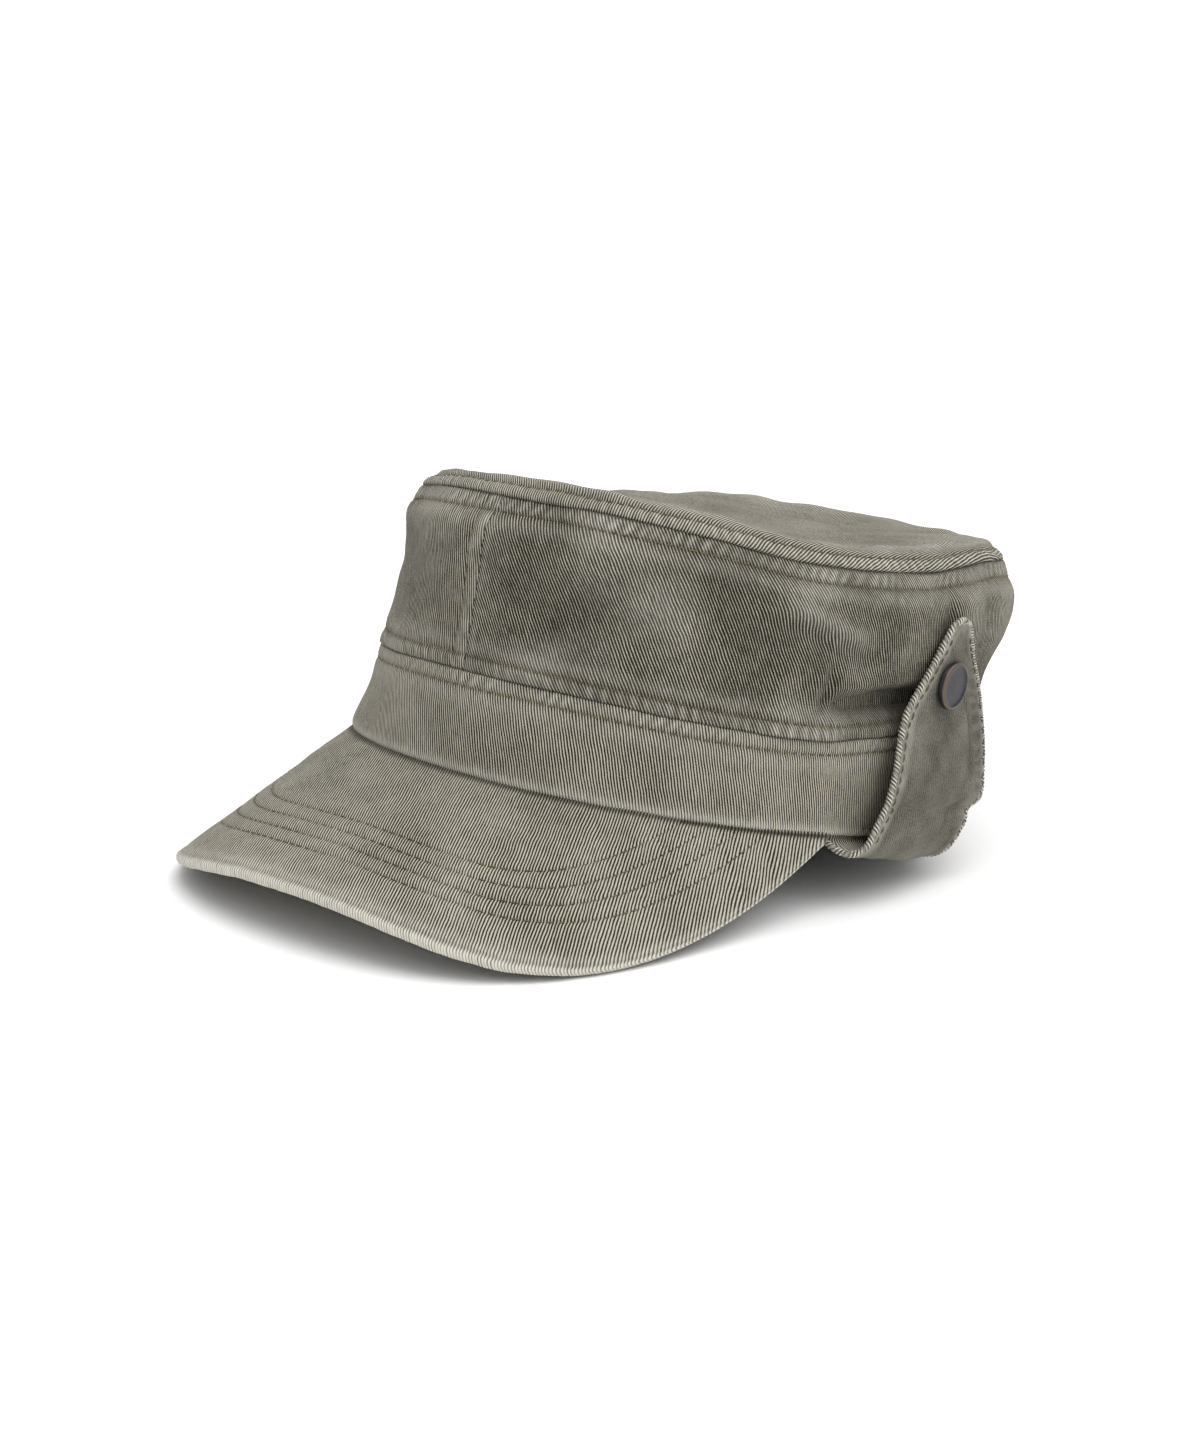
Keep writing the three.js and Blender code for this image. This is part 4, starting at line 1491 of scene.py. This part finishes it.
@dataclass
class Peak:
    """The stiff curved peak: two layers of cloth over a stiff core, stitched in rows."""

    studio: Studio
    length: float = 69.5
    thickness: float = 3.2
    end_length: float = 4.0
    end_angle: float = math.radians(83)
    slope: float = math.radians(32)
    slope_gain: float = 0.119
    fan: float = 0.16
    side_gain: float = 0.85
    tuck: float = 1.6
    groove_depth: float = 0.36
    ripple_depth: float = 0.13
    edge_groove_depth: float = 0.25
    edge_groove_in: float = 3.4
    root_shade: float = 0.85
    across: int = 330
    out_rows: int = 108
    edge_rows: int = 9
    under_rows: int = 16
    stitch_girth: float = 0.82
    stitch_sink: float = 0.3
    stitch_rows: tuple[tuple[float, float], ...] = ((51.0, 69.0), (45.2, 63.0), (39.2, 57.0), (33.2, 51.0))
    finish: TwillFinish = TwillFinish("peak_twill", 24.0, brightness=-0.02)

    def reach(self, angle: Array) -> Array:
        """Returns the peak's length at each angle, fading to its ends."""
        fade = 1 - (angle / self.end_angle) ** 2
        return self.end_length + (self.length - self.end_length) * (1 + self.side_gain * angle**2) * fade

    def surface(self, angle: Array, out: Array) -> Array:
        """Works out the upper side: straight lines that leave the band's edge forwards and down.

        Args:
            angle: Angles of the lines' roots.
            out: Distance along them.

        Returns:
            The points.
        """
        form = self.studio.form
        angle, out = np.broadcast_arrays(angle, out)
        root = form.wall(angle, 0 * angle)
        turn = self.fan * angle
        slope = self.slope + self.slope_gain * angle**2
        along = np.stack([np.sin(turn) * np.cos(slope), -np.cos(turn) * np.cos(slope), -np.sin(slope)], -1)
        return root - np.array([0.0, 0.0, form.gap]) + along * out[..., None]

    @staticmethod
    def stitch_out(angle: Array, middle: float, end: float) -> Array:
        """Returns how far out a stitch row runs, for its reach at the middle and its end angle in degrees.

        The row bows out towards the sides and comes back to the band at its ends.
        """
        q = np.abs(np.degrees(angle)) / end
        q = np.where(angle < 0, 0.8 * q, q)
        return middle * (1 + 0.8 * q**2) * (1 - np.minimum(q, 1) ** 3.4)

    def relief(self, angle: Array, out: Array, points: Array) -> Relief:
        """Works out the peak's fine relief: stitch grooves, soft pads between them and its worn edge.

        Args:
            angle: Angles of the lines' roots.
            out: Distance along them.
            points: The plain peak's points.

        Returns:
            The relief.
        """
        groove = np.zeros(np.broadcast(angle, out).shape)
        for middle, end in self.stitch_rows:
            groove = np.maximum(groove, bell(out - self.stitch_out(angle, middle, end), 0.9))
        to_edge = self.reach(angle) - out
        soft = layered(points, PEAK_SOFTNESS)
        ripple = smooth_noise(points, 5.0, 14) * bell(to_edge - 2, 4)
        edge_groove = self.edge_groove_depth * bell(to_edge - self.edge_groove_in, 0.9)
        off = -self.groove_depth * groove + soft + self.ripple_depth * ripple - edge_groove
        # Worn pale along the edge, with a painted highlight on the soft bulges; painted shade in the grooves
        # and where the peak meets the band.
        wear = 1.2 * bell(to_edge, 2.4) + 0.3 * bell(to_edge - 5, 3.0) + 0.3 * np.maximum(soft, 0)
        shade = 0.2 * groove + 0.2 * bell(to_edge - self.edge_groove_in, 0.8)
        return Relief(off, wear, shade + self.root_shade * bell(out, 1.4))

    def build(self, sewing: Sewing) -> None:
        """Makes the peak and its stitch rows.

        Args:
            sewing: Where its stitches go.
        """
        form = self.studio.form
        end = self.end_angle * 0.9995
        angle = form.angles(-end, end, self.across)[:, None]
        radius = self.thickness / 2
        reach = self.reach(angle)
        top_out = np.linspace(0, 1, self.out_rows)[None, :] * (reach - radius + self.tuck) - self.tuck
        top = self.surface(angle, top_out)
        normal = upwards(normals_of(top))
        relief = self.relief(np.broadcast_to(angle, top_out.shape), top_out, top)
        upper = top + normal * relief.off[..., None]
        turn = np.linspace(0, np.pi, self.edge_rows)[None, :]
        rim = self.surface(angle, reach - radius + radius * np.sin(turn))
        down = normal[:, -1:, :] * -radius
        rim = rim + down * (1 - np.cos(turn))[..., None] + normal[:, -1:, :] * relief.off[:, -1:, None]
        under_out = np.linspace(1, 0, self.under_rows)[None, :] * (reach - radius + self.tuck) - self.tuck
        under = self.surface(angle, under_out)
        near = np.linspace(self.out_rows - 1, 0, self.under_rows).round().astype(int)
        under = under - normal[:, near] * self.thickness
        points = np.concatenate([upper, rim, under], axis=1)
        rest = self.edge_rows + self.under_rows
        rim_wear = np.concatenate([np.sin(turn[0]) * 0.5 + 0.9, np.full(self.under_rows, 0.12)])
        wear = np.concatenate([relief.wear, np.broadcast_to(rim_wear, (len(angle), rest))], axis=1)
        shade = np.concatenate([relief.shade, np.zeros((len(angle), rest))], axis=1)
        down_cloth = length_along(points, axis=1)
        down_cloth = np.minimum(down_cloth, down_cloth[:, -1:] - down_cloth)
        root = self.surface(angle, 0 * angle)[..., 1] / math.cos(self.slope)
        flat = np.stack([points[..., 0], root - down_cloth], -1)
        self.studio.grid("peak_cloth", points, closed_flat(flat, False), (wear, shade), self.finish, ["peak"])
        for middle, end_degrees in self.stitch_rows:
            limit = math.radians(end_degrees) * 0.985
            around = np.linspace(max(-1.24 * limit, -1.4), limit, 1000)
            out = self.stitch_out(around, middle, end_degrees)
            keep = out > 1.5
            grid = self.surface(around[keep, None], out[keep, None] + STRIP)
            normals = upwards(normals_of(grid)[:, 1])
            sewing.row(grid[:, 1] - normals * self.stitch_sink, normals, self.stitch_girth)


FLAP_BULGE = 8.5
FLAP_DROP = 5.0
FLAP_HEIGHT = 71.0
FLAP_TUCK = 7.0
FLAP_PLY = 1.1
FLAP_NEAR = 0.15
FLAP_SHEET = 2 * FLAP_PLY + 2 * FLAP_NEAR


def fold_row(off: float, flare: float, drop: float, front: float, rear: float) -> FlapRow:
    """Returns a row of the flap's fold from its shares of bulge and drop."""
    return FlapRow(off * FLAP_BULGE, flare * FLAP_BULGE, -drop * FLAP_DROP, front, rear)


def leaf_row(off: float, flare: float, height: float, front: float, rear: float) -> FlapRow:
    """Returns a row of the flap's leaf from its shares of bulge and height."""
    return FlapRow(off * FLAP_BULGE, flare * FLAP_BULGE, height * FLAP_HEIGHT, front, rear)


FLAP_ROWS = (
    FlapRow(-2.5 - FLAP_SHEET / 2, 0.0, FLAP_TUCK, 84.2, 105.0),
    FlapRow(-2.5 - FLAP_SHEET / 2, 0.0, 0.0, 84.2, 105.0),
    fold_row(-0.3, 0.0, 0.52, 84.3, 105.0),
    fold_row(0.1, 0.0, 0.84, 84.9, 105.8),
    fold_row(0.56, 0.05, 0.92, 86.0, 108.2),
    fold_row(0.86, 0.18, 0.3, 87.6, 111.4),
    leaf_row(0.94, 0.34, 0.09, 88.8, 113.8),
    leaf_row(0.97, 0.3, 0.16, 89.6, 114.2),
    leaf_row(0.97, 0.42, 0.21, 89.9, 120.0),
    leaf_row(0.9, 0.3, 0.33, 90.2, 121.6),
    leaf_row(0.73, 0.2, 0.46, 90.3, 121.0),
    leaf_row(0.54, 0.12, 0.58, 90.9, 117.6),
    leaf_row(0.42, 0.06, 0.7, 92.9, 112.6),
    leaf_row(0.34, 0.0, 0.82, 94.8, 107.2),
    leaf_row(0.32, 0.0, 0.92, 95.7, 103.2),
    leaf_row(0.33, 0.0, 1.0, 96.7, 100.6),
)


SNAP_ROWS = (
    SnapRow(0.0, 0.0, 0.0),
    SnapRow(0.08, 0.55, 0.0),
    SnapRow(0.2, 0.96, 0.12),
    SnapRow(0.34, 1.0, 0.5),
    SnapRow(0.48, 0.97, 0.86),
    SnapRow(0.6, 0.88, 0.98),
    SnapRow(0.7, 0.76, 0.82),
    SnapRow(0.8, 0.5, 0.8),
    SnapRow(1.0, 0.0, 0.84),
)
LAMPS = (Lamp("overhead", (0.9, 0.6, 4.5), 6.5, 225.0), Lamp("front", (1.8, -0.8, 1.1), 1.4, 6.0))


@dataclass
class EarFlap:
    """An ear flap: two plies folded up round the band's lower edge, with a rolled hem and a snap."""

    studio: Studio
    side: Side
    across: int = 44
    along: int = 150
    tip_rows: float = 0.5
    edge_share: float = 0.012
    hem_radius: float = 0.92
    hem_sides: int = 16
    hem_step: float = 0.2
    twist_pitch: float = 1.3
    stitch_in: float = 2.2
    rear_hem: float = 15.0
    front_hem: float = 4.4
    groove_depth: float = 0.3
    gather_depth: float = 0.2
    snap_dent: float = 0.8
    rear_line_depth: float = 0.9
    rear_gather_depth: float = 0.5
    front_line_depth: float = 0.16
    thinnest: float = 0.3
    first_sewn: float = 5.2
    unsewn_tip: float = 0.75
    snap_height: float = 0.71 * 71.0
    snap_angle: float = 99.5
    snap_radius: float = 7.6
    snap_rise: float = 2.4
    snap_wear_at: float = 0.5
    snap_wear_width: float = 0.07
    snap_steps: int = 44
    snap_turns: int = 72
    twill: TwillFinish = TwillFinish("flap_twill", 30.0, contrast=0.9)
    brushed: BrushedFinish = BrushedFinish()

    def __post_init__(self) -> None:
        """Makes the curves through the flap's rows."""
        keys = np.arange(len(FLAP_ROWS), dtype=float)
        self.last = keys[-1]
        columns = zip(FlapRow._fields, zip(*FLAP_ROWS))
        self.curves = {name: Curve(keys, values) for name, values in columns}

    def middle(self, across: Array, along: Array) -> Array:
        """Works out the flap's middle surface, with a rounded tip.

        Args:
            across: 0 at the front edge and 1 at the rear one.
            along: The running row number, from the root to the tip.

        Returns:
            The points, on the wearer's left.
        """
        across, along = np.broadcast_arrays(across, along)
        front, rear = self.curves["front"](along), self.curves["rear"](along)
        beyond = np.clip((along - (self.last - self.tip_rows)) / self.tip_rows, 0, 1)
        narrow = np.sqrt(np.maximum(1 - beyond**2, 0))
        angle = (front + rear) / 2 + (across - 0.5) * (rear - front) * narrow
        off = self.curves["off"](along) + self.curves["flare"](along) * across**2
        return self.studio.form.smooth_wall(np.radians(angle), self.curves["height"](along), off)

    def leaf(self, across: Array, along: Array, off: Array) -> Array:
        """Returns the flap's surface moved out by off, and mirrored on the wearer's right."""
        points = self.middle(across, along)
        normal = np.cross(np.gradient(points, axis=0), np.gradient(points, axis=1))
        size = np.linalg.norm(normal, axis=-1, keepdims=True)
        normal = np.where(size > 1e-9, normal / np.maximum(size, 1e-9), 0)
        normal[:, -1] = normal[:, -2]
        return (points + normal * np.asarray(off)[..., None]) * (self.side.value, 1, 1)

    def ply(self, near: float, far: float, relief: Relief) -> tuple[Array, Array, Array, Array]:
        """Works out a ply as a closed grid, from two distances from the flap's middle.

        Args:
            near: The distance of its inner side.
            far: The distance of its outer side.
            relief: The relief of its outer side.

        Returns:
            The points, their flat places, their paleness from wearing and painted highlights, and their
            painted shade.
        """
        across, along = self.spans(), self.rows()[None, :]
        thin = 0.4 + 0.6 * np.clip(self.edge_distance() / 2.4, 0, 1)
        outer = self.leaf(across, along, far * thin + relief.off)
        inner = self.leaf(across, along, near * thin)
        points = np.concatenate([outer.transpose(1, 0, 2), inner[::-1].transpose(1, 0, 2)], axis=1)
        middle = self.middle(across, along)
        up = length_along(middle, axis=1).T
        sideways = (length_along(middle, axis=0) - length_along(middle, axis=0)[-1:] / 2).T
        flat = np.stack([np.concatenate([sideways, sideways[:, ::-1]], 1), np.concatenate([up, up], 1)], -1)
        wear = np.concatenate([relief.wear.T, relief.wear.T[:, ::-1] * 0], axis=1)
        shade = np.concatenate([relief.shade.T, relief.shade.T[:, ::-1] * 0 + 0.1], axis=1)
        return points, flat, wear, shade

    def spans(self) -> Array:
        """Returns the shares across the flap's grid, from just inside its front edge to its rear one."""
        return np.linspace(self.edge_share, 1 - self.edge_share, self.across)[:, None]

    def rows(self) -> Array:
        """Returns the row numbers of the flap's grid, close together at its tip."""
        share = np.linspace(0, 1, self.along)
        return self.last * (1 - (1 - share) ** 1.08)

    def edge_distance(self) -> Array:
        """Returns each grid point's distance from the flap's front, rear or tip edge, over the cloth."""
        middle = self.middle(self.spans(), self.rows()[None, :])
        from_front = length_along(middle, axis=0)
        from_rear = from_front[-1:] - from_front
        up = length_along(middle, axis=1)
        return np.minimum(np.minimum(from_front, from_rear) + 0.2, up[:, -1:] - up + 0.2)

    def lining_relief(self) -> Relief:
        """Returns the outer ply's relief: a flat hem, its stitch row, gathers and soft dents."""
        points = self.middle(self.spans(), self.rows()[None, :])
        distance = self.edge_distance()
        groove = bell(distance - self.stitch_in, 0.7)
        gather = smooth_noise(points, 6.5, 61) * bell(distance - 1.5, 2.4)
        dents = layered(points, FLAP_DENTS)
        calm = np.clip(distance / 6, 0, 1)
        height, angle = points[..., 2], np.degrees(np.arctan2(points[..., 0], -points[..., 1]))
        below_snap = bell(height - self.snap_height + 11, 8) * bell(angle - 104, 7)
        from_rear = length_along(points[::-1], axis=0)[::-1]
        strip = bell(height - 33, 24)
        rear_line = bell(from_rear - self.rear_hem, 0.9) * strip
        front_line = bell(length_along(points, axis=0) - self.front_hem, 0.6)
        turns = 2 * np.pi * height / self.studio.form.pucker_pitch
        rear_wave = np.sin(turns + 2 * smooth_noise(points, 14, 64))
        rear_gather = rear_wave * np.clip(1 - from_rear / self.rear_hem, 0, 1) ** 0.5 * strip
        off = -self.groove_depth * groove + self.gather_depth * gather + dents * calm
        off = off - self.snap_dent * below_snap - self.rear_line_depth * rear_line
        off = off + self.rear_gather_depth * rear_gather - self.front_line_depth * front_line
        # Worn pale near the edges and along the fold, with a painted highlight on raised gathers, dents and
        # rear gathers; painted shade in the grooves, hollows, the dent below the snap, the hem lines and the
        # rear gathers' troughs.
        wear = 0.6 * bell(distance - 1.2, 2.2) + 0.25 * np.maximum(gather, 0) + 0.25 * np.maximum(dents, 0)
        wear = wear + 0.2 * np.maximum(rear_gather, 0)
        fold = bell(height + 4.6, 3.0) * 0.15
        shade = 0.3 * groove + 0.2 * np.maximum(-dents, 0) + 0.15 * below_snap + 0.45 * rear_line
        shade = shade + 0.16 * front_line + 0.35 * np.maximum(-rear_gather, 0)
        return Relief(np.maximum(off, self.thinnest - FLAP_PLY), wear + fold, shade)

    def hem(self) -> tuple[Array, Array, Array, Array]:
        """Works out the rolled hem: a tube round the flap's free edges with a twisted surface.

        Its section is a circle whose radius swells in a helix, so it looks like a twisted cord.

        Returns:
            The points, their flat places, their paleness (worn all over, with a painted highlight on the
            twist's crests), and painted shade in the twist's troughs.
        """
        fine = np.linspace(0, 1, 1500) ** 0.85 * self.last
        span = np.array([0.0, 0.02, 0.98, 1.0])[:, None]
        grid = self.middle(span, fine[None, :])
        normal = np.cross(np.gradient(grid, axis=0), np.gradient(grid, axis=1))
        normal[:, -12:] = normal[:, -13:-12]
        normal /= np.maximum(np.linalg.norm(normal, axis=-1, keepdims=True), 1e-9)
        path = np.concatenate([grid[0], grid[-1][::-1][1:]])
        outward = np.concatenate([normal[0], normal[-1][::-1][1:]])
        along = length_along(path)
        count = int(along[-1] / self.hem_step)
        even = np.linspace(0, along[-1], count)
        path, outward = picked(path, along, even), picked(outward, along, even)
        kernel = np.hanning(11) / np.hanning(11).sum()
        soften = lambda values: np.stack(
            [np.convolve(np.pad(values[:, k], 5, mode="edge"), kernel, "valid") for k in range(3)], -1
        )
        path, outward = soften(path), unit(soften(outward))
        aside = np.cross(outward, unit(np.gradient(path, axis=0)))
        turn = np.linspace(0, 2 * np.pi, self.hem_sides, endpoint=False)[None, :]
        twist = np.sin(2 * np.pi * even[:, None] / self.twist_pitch + 2 * turn)
        radius = self.hem_radius * (1 + 0.15 * twist + 0.08 * smooth_noise(path, 9, 71)[:, None])
        points = path[:, None] + (
            aside[:, None] * (np.cos(turn) * radius * 0.95)[..., None]
            + outward[:, None] * (np.sin(turn) * radius * 1.05 + 0.12)[..., None]
        )
        points = points * (self.side.value, 1, 1)
        flat = np.stack(np.broadcast_arrays(even[:, None], turn * self.hem_radius), -1)
        # Worn pale all over, with a painted highlight on the twist's crests and painted shade in its troughs.
        wear = 0.35 + 0.75 * np.maximum(twist, 0)
        shade = 0.75 * np.maximum(-twist, 0)
        return points, flat, wear, shade

    def build(self, sewing: Sewing) -> None:
        """Makes the flap's plies, hem, stitches and snap.

        Args:
            sewing: Where its stitches go.
        """
        word = self.side.word
        plain = Relief(*(np.zeros((self.across, self.along)) for _ in range(3)))
        near, far = FLAP_NEAR, FLAP_NEAR + FLAP_PLY
        face, lining = self.ply(-near, -far, plain), self.ply(near, far, self.lining_relief())
        plies = (("face", face, self.twill), ("lining", lining, self.brushed))
        for name, (points, flat, *relief), finish in plies:
            flat, node = closed_flat(flat, False), f"ear_flap_{name}_{word}"
            self.studio.grid(f"flap_{name}_{word}", points, flat, relief, finish, [node])
        points, flat, *relief = self.hem()
        self.studio.grid(f"flap_hem_{word}", points, closed_flat(flat, False), relief, self.twill)
        self.sew_edges(sewing)
        self.build_snap()

    def sew_edges(self, sewing: Sewing) -> None:
        """Sews the row inside the hem, up the front edge and down the rear one."""
        fine = np.linspace(self.first_sewn, self.last - self.unsewn_tip, 700)[None, :]
        shares = np.linspace(0, 1, 81)[:, None]
        grid = self.leaf(shares, fine, np.full((shares.size, fine.size), FLAP_NEAR + FLAP_PLY - 0.2))
        lengths = length_along(grid, axis=0)
        rows = np.arange(fine.size)
        front = np.argmin(np.abs(lengths - self.stitch_in), axis=0)
        rear = np.argmin(np.abs(lengths[-1:] - lengths - self.stitch_in), axis=0)
        normal = normals_of(grid) * self.side.value
        for column in (front, rear):
            sewing.row(grid[column, rows], normal[column, rows])

    def build_snap(self) -> None:
        """Makes the snap's cap: a turned dome with a rolled edge and a slightly dished middle."""
        low, high = 6.0, self.last
        for _ in range(30):
            along = (low + high) / 2
            low, high = (along, high) if self.curves["height"](along) < self.snap_height else (low, along)
        front, rear = float(self.curves["front"](low)), float(self.curves["rear"](low))
        share = (self.snap_angle - front) / (rear - front)
        patch = self.middle(np.array([[share - 1e-3], [share + 1e-3]]), np.array([[low - 1e-3, low + 1e-3]]))
        seat = patch.mean(axis=(0, 1)) * (self.side.value, 1, 1)
        normal = np.cross(patch[1, 0] - patch[0, 0], patch[0, 1] - patch[0, 0])
        normal = normal / np.linalg.norm(normal) * (self.side.value, 1, 1)
        shares, radii, rises = zip(*SNAP_ROWS)
        profile, rise = Curve(shares, radii), Curve(shares, rises)
        steps = np.linspace(0, 1, self.snap_steps)[None, :]
        turn = np.linspace(0, 2 * np.pi, self.snap_turns, endpoint=False)[:, None]
        side = unit(np.cross(normal, (0, 0, 1.0)))
        other = np.cross(normal, side)
        radius = np.maximum(profile(steps), 0) * self.snap_radius
        level = FLAP_SHEET / 2 + 0.3 + rise(steps) * self.snap_rise
        points = (
            seat
            + side * (np.cos(turn) * radius)[..., None]
            + other * (np.sin(turn) * radius)[..., None]
            + normal * (level + 0 * turn)[..., None]
        )
        flat = np.stack(np.broadcast_arrays(turn * 5, radius), -1)
        wear = bell(steps - self.snap_wear_at, self.snap_wear_width) + 0 * turn
        word, relief, flat = self.side.word, (wear, 0 * wear), closed_flat(flat, True)
        node = f"snap_cap_{word}"
        self.studio.grid(f"snap_dome_{word}", points, flat, relief, SnapFinish(), [node], wraps=True)


@dataclass
class SnapStuds:
    """The hidden sockets and studs, which keep the frame's own solids."""

    studio: Studio

    def dress(self) -> None:
        """Gives the frame's studs the gunmetal finish."""
        for side in Side:
            node = bpy.data.objects[f"snap_stud_{side.word}"]
            node.data.materials.clear()
            node.data.materials.append(self.studio.wardrobe.get(SnapFinish()))
            LOG.info("%s: dressed", node.name)


@dataclass
class PhotoStand:
    """The camera, the floor and the soft lights."""

    studio: Studio
    azimuth: float = 38.5
    elevation: float = 6.8
    roll: float = 10.9
    distance: float = 1200.0
    focal_pixels: float = 3705.0
    centre_pixels: tuple[float, float] = (655.0, 777.0)
    frame_pixels: tuple[float, float] = (1200.0, 1440.0)
    sensor: float = 36.0
    nearest: float = 0.05
    floor_reach: float = 8.0
    lit_point: tuple[float, float, float] = (0.0, 0.0, 0.06)
    surround: float = 0.82

    def camera(self) -> None:
        """Makes the camera where the photograph was taken from.

        Its axis goes through the middle of the photograph's frame, so it needs no shift.
        """
        a, e, r = (math.radians(value) for value in (self.azimuth, self.elevation, self.roll))
        back = np.array([math.sin(a) * math.cos(e), -math.cos(a) * math.cos(e), math.sin(e)])
        level = np.array([math.cos(a), math.sin(a), 0.0])
        rise = np.cross(back, level)
        right = level * math.cos(r) + rise * math.sin(r)
        up = rise * math.cos(r) - level * math.sin(r)
        width, height = self.frame_pixels
        aside = (width / 2 - self.centre_pixels[0]) / self.focal_pixels
        drop = (self.centre_pixels[1] - height / 2) / self.focal_pixels
        ahead = right * aside + up * drop - back
        ahead = self.studio.place.direction(ahead / np.linalg.norm(ahead))
        up = self.studio.place.direction(up)
        right = np.cross(ahead, up)
        right /= np.linalg.norm(right)
        up = np.cross(right, ahead)
        data = bpy.data.cameras.new("photo_camera")
        data.sensor_width = self.sensor
        data.lens = self.focal_pixels / height * self.sensor
        data.clip_start = self.nearest
        camera = bpy.data.objects.new("photo_camera", data)
        turn = Matrix(np.stack([right, up, -ahead], -1).tolist()).to_4x4()
        place = Matrix.Translation(Vector(self.studio.place.points(back * self.distance)))
        camera.matrix_world = place @ turn
        bpy.context.scene.collection.objects.link(camera)
        bpy.context.scene.camera = camera

    def floor(self) -> None:
        """Makes the floor, a wide plane under the cap."""
        data = bpy.data.meshes.new("floor")
        reach = self.floor_reach
        corners = [(-reach, -reach, 0), (reach, -reach, 0), (reach, reach, 0), (-reach, reach, 0)]
        data.from_pydata(corners, [], [(0, 1, 2, 3)])
        floor = bpy.data.objects.new("floor", data)
        data.materials.append(FloorFinish().material())
        bpy.context.scene.collection.objects.link(floor)

    def light(self, lamp: Lamp) -> None:
        """Makes a square soft light that faces the cap."""
        data = bpy.data.lights.new(lamp.name, "AREA")
        data.size, data.energy = lamp.size, lamp.watts
        light = bpy.data.objects.new(lamp.name, data)
        place = Vector(lamp.place)
        turn = (Vector(self.lit_point) - place).to_track_quat("-Z", "Y").to_matrix().to_4x4()
        light.matrix_world = Matrix.Translation(place) @ turn
        bpy.context.scene.collection.objects.link(light)

    def lights(self) -> None:
        """Makes the lights: the table's lamps and an even pale surround."""
        for lamp in LAMPS:
            self.light(lamp)
        world = bpy.data.worlds.new("studio")
        world.use_nodes = True
        surround = next(node for node in world.node_tree.nodes if node.type == "BACKGROUND")
        surround.inputs["Color"].default_value = (1.0, 1.0, 1.0, 1.0)
        surround.inputs["Strength"].default_value = self.surround
        bpy.context.scene.world = world
        bpy.context.scene.view_settings.view_transform = "Standard"

    def build(self) -> None:
        """Makes the whole stand."""
        self.camera()
        self.floor()
        self.lights()


def main() -> None:
    """Builds the cap's pieces on the frame, then the stand."""
    logging.basicConfig(level=logging.INFO, format="%(name)s %(message)s")
    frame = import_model()
    studio = Studio(CapForm(), Placement(frame["record"]))
    PhotoStand(studio).build()
    sewing = Sewing(studio)
    Band(studio).build(sewing)
    sewing.finish("band_stitches")
    for side in Side:
        CrownSide(studio, side).build(sewing)
        sewing.finish(f"crown_stitches_{side.word}")
    TopPanel(studio).build(sewing)
    sewing.finish("top_stitches")
    Peak(studio).build(sewing)
    sewing.finish("peak_stitches")
    for side in Side:
        EarFlap(studio, side).build(sewing)
        sewing.finish(f"flap_stitches_{side.word}", GREY_THREAD)
    SnapStuds(studio).dress()


if __name__ == "__main__":
    main()
